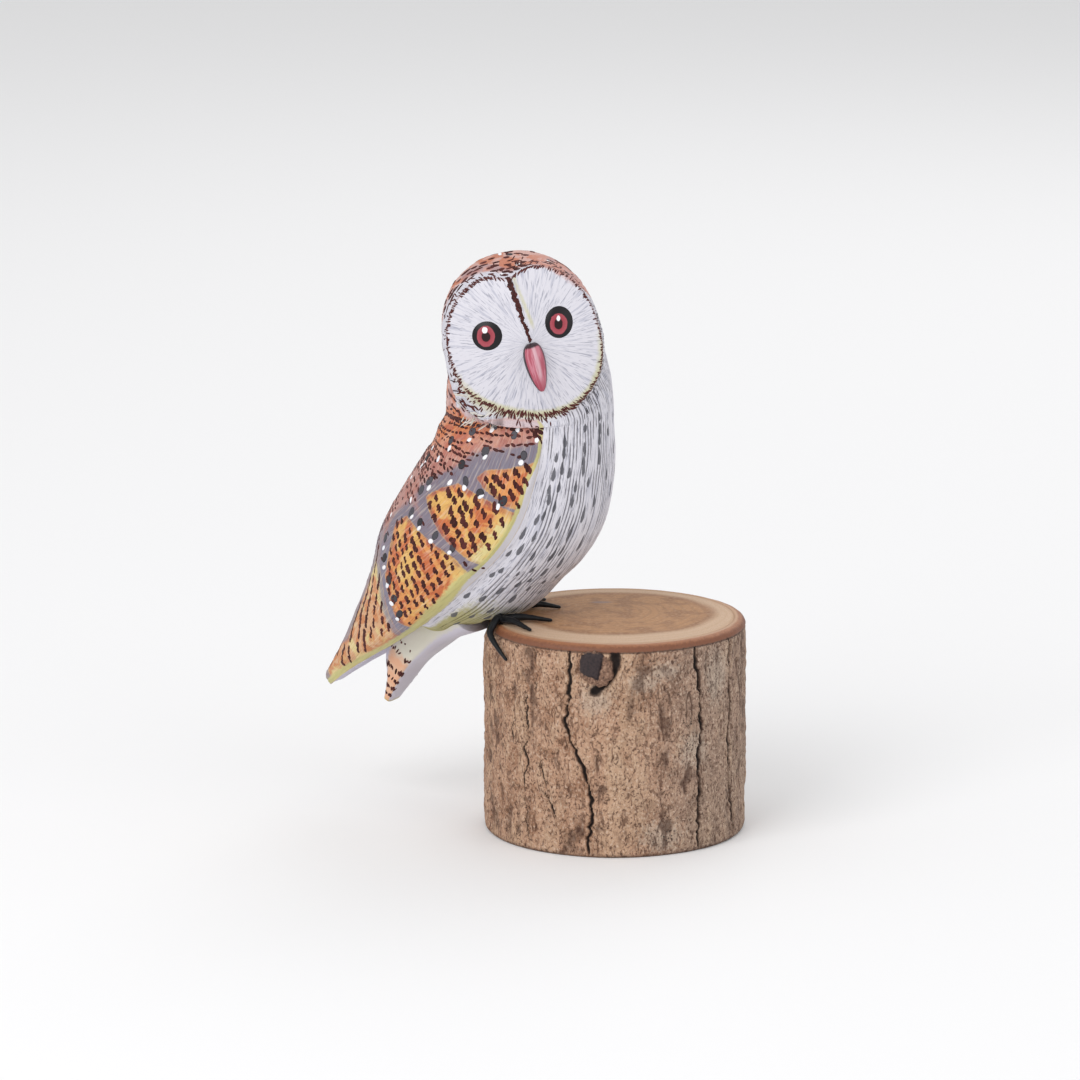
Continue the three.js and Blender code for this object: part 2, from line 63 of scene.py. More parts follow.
# %% [markdown]
# ## Small tools
# A shader colour is linear light, while a paint is easiest to name by its sRGB hex value, so one function
# turns one into the other. Node trees are built in the script, so one function adds a node, sets it and
# links it.

# %% Colours and nodes
def linear(hex_colour):
    """An sRGB hex colour as the linear RGBA that a shader socket takes."""
    channels = [int(hex_colour[i : i + 2], 16) / 255 for i in (1, 3, 5)]
    light = [c / 12.92 if c <= 0.04045 else ((c + 0.055) / 1.055) ** 2.4 for c in channels]
    return (*light, 1.0)


def fill(tree, node, inputs):
    """Sets the inputs of a node, by name or number, to values, or links them to sockets."""
    for key, value in inputs.items():
        if isinstance(value, bpy.types.NodeSocket):
            tree.links.new(value, node.inputs[key])
        else:
            node.inputs[key].default_value = value


def add(tree, kind, settings=None, inputs=None):
    """Adds one node, gives it its settings and fills its inputs."""
    made = tree.nodes.new(kind)
    for name, value in (settings or {}).items():
        setattr(made, name, value)
    fill(tree, made, inputs or {})
    return made

# %% [markdown]
# ## Washes through masks
# A painter lays one thin colour over another, each in its own place with a slightly ragged edge, and wood
# and bark can be built up in the same way. So the materials of the body, the tail, the beak and the log
# are lists of washes. A mask says where a wash lies: it is a value, such as a distance from a border in
# millimetres, that is turned into 0 outside and 1 inside.

# %% Materials as washes
def new_material(name):
    """A new material and its node tree."""
    material = bpy.data.materials.new(name)
    material.use_nodes = True
    return material, material.node_tree


def soft_masks(tree, wanted, edge_noise):
    """Masks by name, from the value each reads, that value at 0 and at 1, and how ragged its edge is."""
    masks = {}
    for name, (value, at_none, at_full, ragged) in wanted.items():
        if ragged:
            offset = add(tree, "ShaderNodeMath", {"operation": "MULTIPLY_ADD"}, {
                0: edge_noise, 1: ragged, 2: -ragged / 2}).outputs[0]
            value = add(tree, "ShaderNodeMath", {"operation": "ADD"}, {0: value, 1: offset}).outputs[0]
        masks[name] = add(tree, "ShaderNodeMapRange", {"interpolation_type": "SMOOTHSTEP"}, {
            "Value": value, "From Min": at_none, "From Max": at_full}).outputs[0]
    return masks


def wash_over(tree, ground, washes, masks):
    """The colour that washes leave on a ground. Each has its limiting masks, its strength and its colour."""
    colour = linear(ground)
    for limits, strength, hex_colour in washes:
        share = strength
        for limit in limits:
            share = add(tree, "ShaderNodeMath", {"operation": "MULTIPLY"}, {
                0: masks[limit], 1: share}).outputs[0]
        colour = add(tree, "ShaderNodeMix", {"data_type": "RGBA"}, {
            0: share, 6: colour, 7: linear(hex_colour)}).outputs[2]
    return colour


def surface(tree, colour, roughness, specular=0.5, relief=None, strength=0.3, depth=0.1):
    """Finishes a material: its colour, roughness and shine, and a fine relief so many millimetres deep."""
    inputs = {"Base Color": colour, "Roughness": roughness, "Specular IOR Level": specular}
    if relief is not None:
        inputs["Normal"] = add(tree, "ShaderNodeBump", None, {
            "Strength": strength, "Distance": depth * MM, "Height": relief}).outputs["Normal"]
    fill(tree, tree.nodes["Principled BSDF"], inputs)

# %% [markdown]
# ## Shapes as grids of points
# Every carved piece is a grid: rows of rings, closed by a pole at each end. Numpy works out all its
# points at once, and one function turns a grid into a closed mesh.

# %% Plain arithmetic on arrays
def mix(a, b, share):
    """The value a share of the way from a to b."""
    return a + (b - a) * share


def ease(value, low, high):
    """0 below low, 1 above high, and a smooth ramp between them."""
    t = np.clip((value - low) / (high - low), 0, 1)
    return t * t * (3 - 2 * t)


def bump(value, width):
    """A smooth hill, 1 at zero."""
    return np.exp(-((value / width) ** 2))


def smooth_curve(rows, places, before, after):
    """Values on a smooth curve through rows of numbers, given the rows that would lie beyond its ends."""
    places = np.asarray(places, float)
    i = np.clip(np.floor(places).astype(int), 0, len(rows) - 2)
    t = np.reshape(places - i, places.shape + (1,) * (rows.ndim - 1))
    padded = np.concatenate([[before], rows, [after]])
    p0, p1, p2, p3 = (padded[i + k] for k in range(4))
    slope, bend, turn = p2 - p0, 2 * p0 - 5 * p1 + 4 * p2 - p3, 3 * p1 - p0 - 3 * p2 + p3
    return 0.5 * (2 * p1 + slope * t + bend * t**2 + turn * t**3)


def unit(vectors):
    """The vectors at length 1."""
    return vectors / (np.linalg.norm(vectors, axis=-1, keepdims=True) + 1e-12)


def soft_noise(x, y, seed):
    """Soft random hills between -1 and 1 over a plane, the same at every run."""
    table = np.random.default_rng(seed).uniform(-1, 1, (64, 64))
    x0, y0 = np.floor(x).astype(int), np.floor(y).astype(int)
    u, v = ease(x - x0, 0, 1), ease(y - y0, 0, 1)
    low = mix(table[x0 % 64, y0 % 64], table[(x0 + 1) % 64, y0 % 64], u)
    high = mix(table[x0 % 64, (y0 + 1) % 64], table[(x0 + 1) % 64, (y0 + 1) % 64], u)
    return mix(low, high, v)

# %% Meshes from rings of points
def closed_faces(rows, columns):
    """Faces of a closed shell: a first pole, rows of rings, and a last pole, in that order of points."""
    j = np.arange(columns)
    after = (j + 1) % columns
    first = [(0, 1 + a, 1 + b) for a, b in zip(j, after)]
    ring = 1 + np.arange(rows - 1)[:, None] * columns
    quads = np.stack([ring + j, ring + columns + j, ring + columns + after, ring + after], -1).reshape(-1, 4)
    last_ring, pole = 1 + (rows - 1) * columns, 1 + rows * columns
    last = [(pole, last_ring + b, last_ring + a) for a, b in zip(j, after)]
    return first + quads.tolist() + last


def outward(points, faces):
    """The faces, turned round if they make the shell's volume negative."""
    corners = np.array([face[:3] for face in faces])
    a, b, c = (points[corners[:, k]] for k in range(3))
    volume = np.einsum("ij,ij->i", a, np.cross(b, c)).sum()
    quads = np.array([face for face in faces if len(face) == 4])
    if len(quads):
        a, b, c = (points[quads[:, k]] for k in (0, 2, 3))
        volume += np.einsum("ij,ij->i", a, np.cross(b, c)).sum()
    return faces if volume > 0 else [tuple(reversed(face)) for face in faces]


def make_piece(name, points, faces, materials):
    """A smooth mesh object at the origin, from points in millimetres."""
    mesh = bpy.data.meshes.new(name)
    mesh.from_pydata((points * MM).tolist(), [], [list(map(int, face)) for face in outward(points, faces)])
    mesh.polygons.foreach_set("use_smooth", [True] * len(mesh.polygons))
    for material in materials:
        mesh.materials.append(material)
    piece = bpy.data.objects.new(name, mesh)
    bpy.context.scene.collection.objects.link(piece)
    print(f"{name}: {len(mesh.vertices)} points, {sum(len(f) - 2 for f in faces)} triangles")
    return piece


def shell(name, rings, ends, materials):
    """A closed shell through rings of shape (rows, columns, 3) with a pole at each end."""
    rows, columns = rings.shape[:2]
    points = np.concatenate([ends[0][None], rings.reshape(-1, 3), ends[1][None]])
    return make_piece(name, points, closed_faces(rows, columns), materials)


def note(piece, name, values):
    """Writes one number or one vector per point of a piece, for its material to read."""
    values = np.asarray(values, np.float32)
    kind = "FLOAT_VECTOR" if values.ndim == 2 else "FLOAT"
    made = piece.data.attributes.new(name, kind, "POINT")
    made.data.foreach_set("vector" if values.ndim == 2 else "value", values.ravel())


def finish(piece, slot, *nodes):
    """Puts a finished piece on the one body and hides the CAD nodes it stands for; its paint slot is not used.
    """
    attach(piece, "root")
    if nodes:
        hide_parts(*nodes)

# %% [markdown]
# ## Camera, light and floor
# The figurine stands on a plain pale floor under a wide soft light, as in a small product studio. A long
# lens from one and a half metres, a little above it, keeps the log's sides parallel. The camera's place
# comes from the CAD box.

# %% Camera
LENS_MM = 200.0
DISTANCE = 1.5
ELEVATION = math.radians(12.4)
AIM_SHIFT = (1.55, -0.35)  # mm right of and above the middle of the box, which leaves even margins

scene = bpy.context.scene
scene.view_settings.view_transform = "Standard"
middle = [(low + high) / 2 for low, high in zip(cad_low, cad_high)]
aim = (middle[0] + AIM_SHIFT[0] * MM, 0.0, middle[2] + AIM_SHIFT[1] * MM)
camera_data = bpy.data.cameras.new("camera")
camera_data.lens = LENS_MM
camera_data.sensor_width = 36.0
camera_data.clip_end = 20.0
camera = bpy.data.objects.new("camera", camera_data)
camera.location = (aim[0], aim[1] - DISTANCE * math.cos(ELEVATION), aim[2] + DISTANCE * math.sin(ELEVATION))
camera.rotation_euler = (math.pi / 2 - ELEVATION, 0, 0)
scene.collection.objects.link(camera)
scene.camera = camera
print("camera aims at, mm:", [round(v / MM, 2) for v in aim])

# %% Soft studio light
world = bpy.data.worlds.new("studio")
world.use_nodes = True
fill(world.node_tree, world.node_tree.nodes["Background"], {"Color": linear("#FFFFFF"), "Strength": 0.72})
scene.world = world

LAMP_AIM = np.array([0, 0, 0.07])  # metres
LAMPS = [  # name, place and size in metres, watts: a key from the upper left, a fill, and a rim from behind
    ("key", (-0.75, -0.95, 1.05), 0.9, 9.5),
    ("fill", (0.95, -0.8, 0.55), 1.0, 2.5),
    ("rim", (0.3, 0.9, 0.9), 0.8, 2.5),
]
for name, place, size, power in LAMPS:
    lamp = bpy.data.lights.new(name, "AREA")
    lamp.size = size
    lamp.energy = power
    lamp_object = bpy.data.objects.new(name, lamp)
    lamp_object.location = place
    toward = LAMP_AIM - np.array(place)
    yaw = math.atan2(toward[1], toward[0]) - math.pi / 2
    lamp_object.rotation_euler = (math.acos(-toward[2] / np.linalg.norm(toward)), 0, yaw)
    scene.collection.objects.link(lamp_object)
print("lamps:", ", ".join(name for name, *_ in LAMPS))

# %% Floor
HALF_FLOOR = 3000.0  # mm
floor_paint, tree = new_material("matt_pale_paper")  # seamless background paper: matt, near white
surface(tree, linear("#F3F3F4"), 0.9)
floor_points = np.array([(x, y, 0.0) for x, y in ((-1, -1), (1, -1), (1, 1), (-1, 1))]) * HALF_FLOOR
floor_mesh = bpy.data.meshes.new("floor")
floor_mesh.from_pydata((floor_points * MM).tolist(), [], [(0, 1, 2, 3)])
floor_mesh.materials.append(floor_paint)
floor = bpy.data.objects.new("floor", floor_mesh)
scene.collection.objects.link(floor)

# %% [markdown]
# ## The shape of the owl
# A carver draws the side view on the block, saws it out and rounds it. The same order works here: a
# curved spine from the neck to the wing tips, rounded sections square to it, and a drum for the head
# whose flat front is the facial disc. The owl has its own frame, with x forward, y to its left and z up,
# and stands turned on the log.

# %% Sections of the body
OWL_X, OWL_Y, OWL_TURN = -26.0, 2.0, math.radians(-28)
KEYS = ("x", "y", "z", "wide", "front", "back", "square", "edge")
SECTIONS = np.array([
    # middle (x, y, z), half width, depths to breast and back in mm; squareness; wing edge in degrees
    (4.4, 0.8, 106, 18.8, 22, 20.8, 2, 51),
    (3.6, 0.4, 96.5, 21.8, 23, 20.1, 2.1, 54),
    (0.6, 0, 86.5, 23, 24.4, 21.6, 2.1, 56),
    (-6, 0, 76.5, 23.2, 22.9, 21.5, 2.1, 59),
    (-12, 0, 67, 22, 20, 21.6, 2.1, 65.5),
    (-19, 0, 58.5, 19, 12.2, 19.8, 2.1, 69),
    (-27, 0, 51, 15.2, 12.2, 14.2, 2.1, 72),
    (-35, 0, 44, 11.2, 5.6, 9.4, 2.2, 76),
    (-42.6, 0, 37.6, 7.4, 3.6, 5.2, 2.3, 82),
    (-50.6, 0, 31, 3, 1.8, 1.8, 2.2, 88),
])


def column(place, key):
    """One column of SECTIONS along a smooth curve through its rows; place 0 is the neck."""
    rows = SECTIONS[:, KEYS.index(key)]
    above = 2 * rows[0] - rows[1] if key == "z" else rows[1]
    return smooth_curve(rows, place, above, rows[-1])


def spine(place):
    """Points on the spine."""
    return np.stack([column(place, key) for key in "xyz"], -1)


def spine_frame(place):
    """The spine's point, and its directions toward the breast and toward the owl's left."""
    step = 1e-3
    along = unit(spine(place + step) - spine(place - step))
    front = unit(np.cross(along, np.array([0, 1.0, 0]) + 0 * along))
    return spine(place), front, np.cross(front, along)


def section_radius(place, angle):
    """Reach of a section from the spine; angle 0 is the breast and 90 degrees the owl's left."""
    depth = np.where(np.cos(angle) > 0, column(place, "front"), column(place, "back"))
    square = column(place, "square")
    across = np.abs(np.sin(angle)) / column(place, "wide")
    return (across**square + (np.abs(np.cos(angle)) / depth) ** square) ** (-1 / square)

# %% The head and its facial disc
HEAD_MIDDLE = np.array([6.1, -4.0, 125.3])
HEAD_TURN, HEAD_LIFT, HEAD_ROLL = math.radians(-62), math.radians(5), math.radians(17)
HEAD_WIDEST, HEAD_BACK, HEAD_OVER, HEAD_BLEND = 9.0, 31.0, 0.3, 2.0
CROWN, CROWN_AT, CROWN_WIDE = 3.4, -0.12, 0.85
JAW, JAW_AT, JAW_WIDE = 1.8, -2.05, 0.5
DISC_WIDE, DISC_TALL, DISC_SQUARE, DISC_DEPTH, DISC_DOME = 18.8, 19.2, 2.3, 16.4, 50.0
NOTCH, NOTCH_AT, NOTCH_WIDE = 2.4, 0.06, 0.24  # the rim's dip at the brow
FLAT, FLAT_AT, FLAT_WIDE = 2.8, 2.55, 0.6  # its flatter lower right cheek
RIDGE, RIDGE_AT, RIDGE_WIDE = 1.1, 1.2, 3.0  # the ridge from brow to beak
EYE_PLACES = {"eye_right": (-8.1, 4.8), "eye_left": (9.7, 2.9)}  # sideways and up on the disc
SOCKET, SOCKET_REACH = 0.7, 4.2
NECK_RISE = 33.0

cos_turn, sin_turn = math.cos(HEAD_TURN), math.sin(HEAD_TURN)
cos_lift, sin_lift = math.cos(HEAD_LIFT), math.sin(HEAD_LIFT)
FACE_OUT = np.array([cos_turn * cos_lift, sin_turn * cos_lift, sin_lift])
FACE_LEFT = np.array([-sin_turn, cos_turn, 0.0])
FACE_UP = np.cross(FACE_OUT, FACE_LEFT)
DISC_LEFT = FACE_LEFT * math.cos(HEAD_ROLL) + FACE_UP * math.sin(HEAD_ROLL)
DISC_UP = FACE_UP * math.cos(HEAD_ROLL) - FACE_LEFT * math.sin(HEAD_ROLL)


def wrap(angle):
    """The angle between -pi and pi."""
    return np.arctan2(np.sin(angle), np.cos(angle))


def disc_outline(angle):
    """Squarish outline of the face round its own axis; angle 0 is its brow."""
    across = (np.abs(np.sin(angle)) / DISC_WIDE) ** DISC_SQUARE
    return (across + (np.abs(np.cos(angle)) / DISC_TALL) ** DISC_SQUARE) ** (-1 / DISC_SQUARE)


def rim_radius(angle):
    """The rim: the outline with its dip at the brow and its flatter cheek."""
    flat = FLAT * bump(wrap(angle + FLAT_AT), FLAT_WIDE)
    return disc_outline(angle) - NOTCH * bump(angle - NOTCH_AT, NOTCH_WIDE) - flat


def skull_radius(angle):
    """The skull's widest section, rising into the crown and full behind the lower right cheek."""
    jaw = JAW * bump(wrap(angle - JAW_AT), JAW_WIDE)
    return disc_outline(angle) + HEAD_OVER + CROWN * bump(angle - CROWN_AT, CROWN_WIDE) + jaw


def face_depth(side, up):
    """How far the face stands out: a shallow dome with a ridge down it and two eye sockets."""
    depth = DISC_DEPTH - (side**2 + up**2) / (2 * DISC_DOME)
    depth = depth + RIDGE * bump(side - RIDGE_AT, RIDGE_WIDE) * ease(up, -19, -8) * ease(-up, -19, -12)
    for eye_side, eye_up in EYE_PLACES.values():
        depth = depth - SOCKET * bump(np.hypot(side - eye_side, up - eye_up), SOCKET_REACH)
    return depth


def on_disc(side, up, out):
    """Points of the facial disc in the owl's frame."""
    side, up, out = (np.asarray(v, float)[..., None] for v in (side, up, out))
    return HEAD_MIDDLE + side * DISC_LEFT + up * DISC_UP + out * FACE_OUT


def inside_head(points):
    """Whether points are inside the skull and its flat front."""
    q = points - HEAD_MIDDLE
    side, up, out = q @ DISC_LEFT, q @ DISC_UP, q @ FACE_OUT
    behind = np.maximum(HEAD_WIDEST - out, 0) / HEAD_BACK
    across = np.hypot(side, up) / skull_radius(np.arctan2(side, up))
    return (across**2 + behind**2 < 1) & (out < DISC_DEPTH)


def inside_neck(points):
    """Whether points are inside the neck, which rises as a dome into the head."""
    q = points - spine(0.0)
    angle = np.arctan2(q[..., 1], q[..., 0])
    rise = np.maximum(q[..., 2], 0) / NECK_RISE
    return (np.hypot(q[..., 0], q[..., 1]) / section_radius(0 * angle, angle)) ** 2 + rise**2 < 1


def last_exit(start, direction, inside):
    """Distance along each ray to the last place where it leaves a shape, or -30 where it never meets it."""
    start, direction = np.broadcast_arrays(start, direction)
    far, found = np.full(start.shape[:-1], 48.0), np.zeros(start.shape[:-1], bool)
    for distance in range(48, 0, -1):
        meets = inside(start + direction * distance) & ~found
        far[meets] = distance
        found |= meets
    near, beyond = far.copy(), far + 1
    for _ in range(14):
        middle = (near + beyond) / 2
        within = inside(start + direction * middle[..., None])
        near, beyond = np.where(within, middle, near), np.where(within, beyond, middle)
    return np.where(found, near, -30)


def rounded_max(a, b, blend):
    """The greater of two reaches, with the crease between them rounded."""
    return (a + b + np.hypot(a - b, blend)) / 2

# %% [markdown]
# ## One carved skin
# Head, breast and wings are one piece of wood, so one closed mesh stands for them and shows no seam. Its
# rings start at the middle of the face, run out to the rim, swing back over the skull about a hinge under
# the chin, and go down the spine to the wing tips. Its columns crowd on the breast, where gouge cuts less
# than a millimetre apart need real geometry, and two of them always follow the wings' edges, so that the
# step there stays crisp.

# %% Rings of the head
FRONT_COLUMNS, BACK_COLUMNS = 216, 150
DISC_ROWS, SKULL_ROWS = 40, 66
SWING_START, SWING_REACH = 10.0, 20.5
neck_reach = float(section_radius(0.0, HEAD_TURN)) + 0.4
HINGE = spine(0.0) + np.array([cos_turn, sin_turn, 0]) * neck_reach


def column_angles(place):
    """Angles of the grid's columns round the spine: the breast, then from its left edge round the back."""
    edge = np.radians(column(place, "edge"))[..., None]
    t = np.arange(BACK_COLUMNS) / BACK_COLUMNS
    spread = 2 * t - 1
    crowded = 0.45 * np.abs(spread) + 0.55 * (1 - (1 - np.abs(spread)) ** 2)  # toward the wings' edges
    spread = 0.5 + 0.5 * np.sign(spread) * crowded
    breast = -edge + 2 * edge * np.arange(FRONT_COLUMNS) / FRONT_COLUMNS
    return np.concatenate([breast, edge + (2 * math.pi - 2 * edge) * spread], -1)


def disc_ring(share, angle):
    """A ring of the face at a share of the way from its middle to its rim."""
    round_disc = angle - HEAD_TURN - HEAD_ROLL
    side, up = np.sin(round_disc), -np.cos(round_disc)
    radius = rim_radius(np.arctan2(side, up)) * share
    return on_disc(side * radius, up * radius, face_depth(side * radius, up * radius))


def skull_ring(share, angle):
    """A ring of the skull, on a plane that swings from the rim round to the neck."""
    swing = np.radians(mix(SWING_START, 90 - math.degrees(HEAD_LIFT), share))
    rise = FACE_UP * math.cos(swing) - FACE_OUT * math.sin(swing)
    start = HINGE + rise * mix(SWING_REACH, neck_reach, share)
    direction = -rise * np.cos(angle - HEAD_TURN)[:, None] + FACE_LEFT * np.sin(angle - HEAD_TURN)[:, None]
    head, neck = last_exit(start, direction, inside_head), last_exit(start, direction, inside_neck)
    return start + direction * rounded_max(head, neck, HEAD_BLEND)[:, None]


neck_angles = column_angles(np.array(0.0))
face_rings = [disc_ring(k / DISC_ROWS, neck_angles) for k in range(1, DISC_ROWS + 1)]
skull_rings = [skull_ring((k / SKULL_ROWS) ** 1.15, neck_angles) for k in range(1, SKULL_ROWS + 1)]
print("head rings:", len(face_rings) + len(skull_rings))

# %% Rings of the body
BELLY_ROUND, BELLY_TIP = 5.0, 5.75  # where the belly starts to round off and where it ends
WING_THICK, WING_TIP, WING_LIP = 1.6, 8.96, 1.2
HEAD_LOWEST = 98.0  # the head reaches down to this height
BODY_PLACES = np.concatenate([
    np.linspace(0.05, 5.0, 80), np.linspace(5.04, 5.84, 24), np.linspace(5.92, WING_TIP, 36)])


def edge_profile(distance, place):
    """Height of the wing over the breast, across its bevelled edge and the scooped band beside it."""
    bevel = mix(1.0, 3.2, ease(place, 0.8, 2.2))
    raised = WING_THICK * ease(place, 0.0, 0.8) * ease(distance, -0.3, bevel)
    scoop = 0.55 * ease(place, 0.4, 1.4) * (1 - ease(place, 4.8, 5.4))
    return raised - scoop * bump(distance + 2.0, 1.5) * (distance < 0.5)


def body_ring(place):
    """One ring of the body, with its signed distance in mm from the wing edge, positive on the wings."""
    angle = column_angles(np.array(place))
    centre, front, left = spine_frame(np.array(place))
    direction = front * np.cos(angle)[:, None] + left * np.sin(angle)[:, None]
    reach = section_radius(np.full(angle.shape, place), angle)
    if centre[2] > HEAD_LOWEST:
        head = last_exit(centre, direction, inside_head)
        reach = rounded_max(reach, head, HEAD_BLEND)
    points = centre + direction * reach[:, None]
    breast = slice(0, FRONT_COLUMNS)
    if place > BELLY_ROUND:
        edge = angle[FRONT_COLUMNS]
        own = float(section_radius(place, edge))
        share = np.clip((place - BELLY_ROUND) / (BELLY_TIP - BELLY_ROUND), 0, 0.999)
        shrink = math.sqrt(1 - share**2)
        q = np.arange(FRONT_COLUMNS) / FRONT_COLUMNS
        straight = own * math.sin(edge) * (2 * q - 1)
        side = mix((direction * reach[:, None])[breast] @ left, straight, float(ease(place, 5.0, 5.4)))
        square, wide, deep = (float(column(place, key)) for key in ("square", "wide", "front"))
        inner = np.clip(1 - (np.abs(side) / (wide * shrink)) ** square, 0, 1)
        belly = deep * shrink * inner ** (1 / square) if share < 0.99 else np.zeros(len(side))
        from_edge = own * math.sin(edge) - np.abs(side)
        lip = min(WING_LIP, own * 0.25) * ease(from_edge, 0.0, 1.6)
        under = own * math.cos(edge) - lip * float(ease(place, 5.0, 5.3))
        height = rounded_max(belly, under, 0.35)
        points[breast] = centre + left * side[:, None] + front * height[:, None]
    steps = np.linalg.norm(np.diff(points, axis=0, append=points[:1]), axis=1)
    travel = np.concatenate([[0], np.cumsum(steps)])
    over_back = travel[FRONT_COLUMNS:-1] - travel[FRONT_COLUMNS]
    half = travel[FRONT_COLUMNS]
    distance = np.concatenate([
        -np.minimum(travel[:FRONT_COLUMNS], half - travel[:FRONT_COLUMNS]),
        np.minimum(over_back, travel[-1] - travel[FRONT_COLUMNS] - over_back)])
    height = edge_profile(distance, place)
    outer = unit(points - centre)
    slit = 0.8 * bump(wrap(angle - math.pi) * reach, 0.7) * ease(place, 1.5, 5.0) * (place < 8.9)
    points = points + outer * (height - slit * (np.arange(len(angle)) >= FRONT_COLUMNS))[:, None]
    return points, distance, angle


body = [body_ring(place) for place in BODY_PLACES]
tip_points = body[-1][0]
tip_middle = tip_points.mean(0)
tip_run = unit(spine(WING_TIP) - spine(WING_TIP - 0.1))
tip_rings = [
    tip_middle + (tip_points - tip_middle) * math.sqrt(1 - s**2) + tip_run * 1.3 * s
    for s in (0.45, 0.75, 0.93)]
print("body rings:", len(body) + len(tip_rings))

# %% Where each point of the skin is
HEAD_ROWS = DISC_ROWS + SKULL_ROWS
rings = np.array(face_rings + skull_rings + [row[0] for row in body] + tip_rings)
ROWS, COLUMNS = rings.shape[:2]
places = np.concatenate([np.zeros(HEAD_ROWS), BODY_PLACES, np.full(3, WING_TIP)])
spine_places = np.linspace(0, 9, 901)
spine_run = np.cumsum(np.linalg.norm(np.diff(spine(spine_places), axis=0), axis=1))
along = np.interp(places, spine_places, np.concatenate([[0], spine_run]))  # mm down the spine from the neck
along = np.repeat(along[:, None], COLUMNS, 1)
along[-3:] += np.array([0.6, 1.0, 1.2])[:, None]
step_down = np.linalg.norm(np.diff(rings[DISC_ROWS - 1 : HEAD_ROWS + 1], axis=0), axis=2)
behind = np.zeros((ROWS, COLUMNS))  # distance behind the facial disc's rim, in mm
behind[DISC_ROWS:HEAD_ROWS] = np.cumsum(step_down, axis=0)[: SKULL_ROWS]
behind[HEAD_ROWS:] = (behind[HEAD_ROWS - 1] + step_down[-1]) + along[HEAD_ROWS:]
along[:HEAD_ROWS] = behind[:HEAD_ROWS] - (behind[HEAD_ROWS - 1] + step_down[-1])  # negative above the neck
across = [body[0][1]] * HEAD_ROWS + [row[1] for row in body] + [body[-1][1]] * 3
across = np.array(across)  # mm from the wing's front edge, positive on the wings
angles = np.array([neck_angles] * HEAD_ROWS + [row[2] for row in body] + [body[-1][2]] * 3)
from_middle = rings[:DISC_ROWS] - HEAD_MIDDLE
face_side, face_up = np.zeros((ROWS, COLUMNS)), np.zeros((ROWS, COLUMNS))
face_side[:DISC_ROWS], face_up[:DISC_ROWS] = from_middle @ DISC_LEFT, from_middle @ DISC_UP
rim_distance = -behind  # positive on the face, negative behind the rim
rim_distance[:DISC_ROWS] = np.linalg.norm(rings[:DISC_ROWS] - rings[DISC_ROWS - 1], axis=2)
print("skin grid:", ROWS, "rows by", COLUMNS, "columns; spine", round(float(along.max()), 1), "mm")

# %% [markdown]
# ## Gouge cuts
# The carver cut the breast feathers with a small V-gouge: some forty-five shallow grooves, a millimetre
# apart, that run down from the face and fade in and out. They are moved into the mesh along its normals.
# Displacement in a shader would be quicker, but the cuts would then be missing from the mesh itself.

# %% Cut the grooves
CUTS = 46  # grooves across the breast
CUT_DEPTH = 0.24


def grid_normals(grid):
    """Unit normals of the grid, with its columns closed into rings."""
    down = np.gradient(grid, axis=0)
    round_ring = np.roll(grid, -1, axis=1) - np.roll(grid, 1, axis=1)
    normal = unit(np.cross(round_ring, down))
    middle = grid[HEAD_ROWS + 20].mean(0)
    return normal * np.sign(((grid[HEAD_ROWS + 20] - middle) * normal[HEAD_ROWS + 20]).sum())


share_across = wrap(angles) / (2 * np.radians(column(np.minimum(places, 5.0), "edge"))[:, None]) + 0.5
travel = along + 60
wander = 0.55 * soft_noise(travel / 16, share_across * 6, 4)
wander = wander + 0.2 * soft_noise(travel / 5, share_across * 16, 5)
phase = CUTS * share_across + wander
line = np.round(phase)
stroke = soft_noise(travel / 7, line * 3.7, 6) + 0.55 * soft_noise(travel / 2.5, line * 5.3, 7)
stroke = ease(stroke, -0.55, 0.1)  # where the gouge was in the wood
groove = (1 - np.abs(np.sin(math.pi * phase))) ** 1.6
head_part = np.arange(ROWS)[:, None] < HEAD_ROWS
from_chin = np.abs(wrap(neck_angles - HEAD_TURN))
head_room = np.where(head_part, ease(from_chin, 0.3, 0.6), 1)
deep_side = ease(np.abs(wrap(angles)), math.radians(104), math.radians(80))  # how far round cuts reach
smooth_band = mix(0.6, 3.6, ease(along, 6, 24))
on_breast = ease(-across, smooth_band, smooth_band + 1.2) * ease(places, BELLY_TIP, BELLY_TIP - 0.4)[:, None]
on_neck = ease(-rim_distance, 0.8, 2.0) * deep_side * head_room * (wrap(angles) > math.radians(-43))
cut_mask = np.where(head_part, on_neck, mix(on_neck, on_breast, ease(along, -3, 2)))
cut = groove * stroke * np.clip(cut_mask, 0, 1)

normals = grid_normals(rings)
knife = 0.10 * soft_noise(travel / 5, share_across * 22, 8)
knife = knife + 0.05 * soft_noise(travel / 2, share_across * 60, 9)
knife = knife * (np.arange(ROWS) >= DISC_ROWS)[:, None]
# A fine cut behind the rim lets the face stand out. There is none where the rings crowd together at the chin.
rim_step = 0.35 * bump(rim_distance + 0.9, 0.7) * head_part * ease(from_chin, 0.5, 1.1)
rings = rings + normals * (knife - CUT_DEPTH * cut - rim_step)[..., None]
print("cuts cover", round(float((cut > 0.3).mean() * 100), 1), "% of the grid")

# %% To the log's frame
LOG_TOP, LOG_REACH = 54.0, 33.2  # the log's height and how far its bark reaches, mm
GLUE = 0.05


def to_world(points):
    """Points of the owl's frame, turned and moved to the owl's place on the log."""
    c, s = math.cos(OWL_TURN), math.sin(OWL_TURN)
    x, y, z = points[..., 0], points[..., 1], points[..., 2]
    return np.stack([OWL_X + x * c - y * s, OWL_Y + x * s + y * c, z], -1)


def rest_on_log(points):
    """Points of the skin in the log's frame, with the belly flattened where it is glued to the log's top."""
    low = (np.hypot(points[..., 0], points[..., 1]) < LOG_REACH) & (points[..., 2] < LOG_TOP + GLUE)
    return np.where(low[..., None], points * [1, 1, 0] + [0, 0, LOG_TOP + GLUE], points)


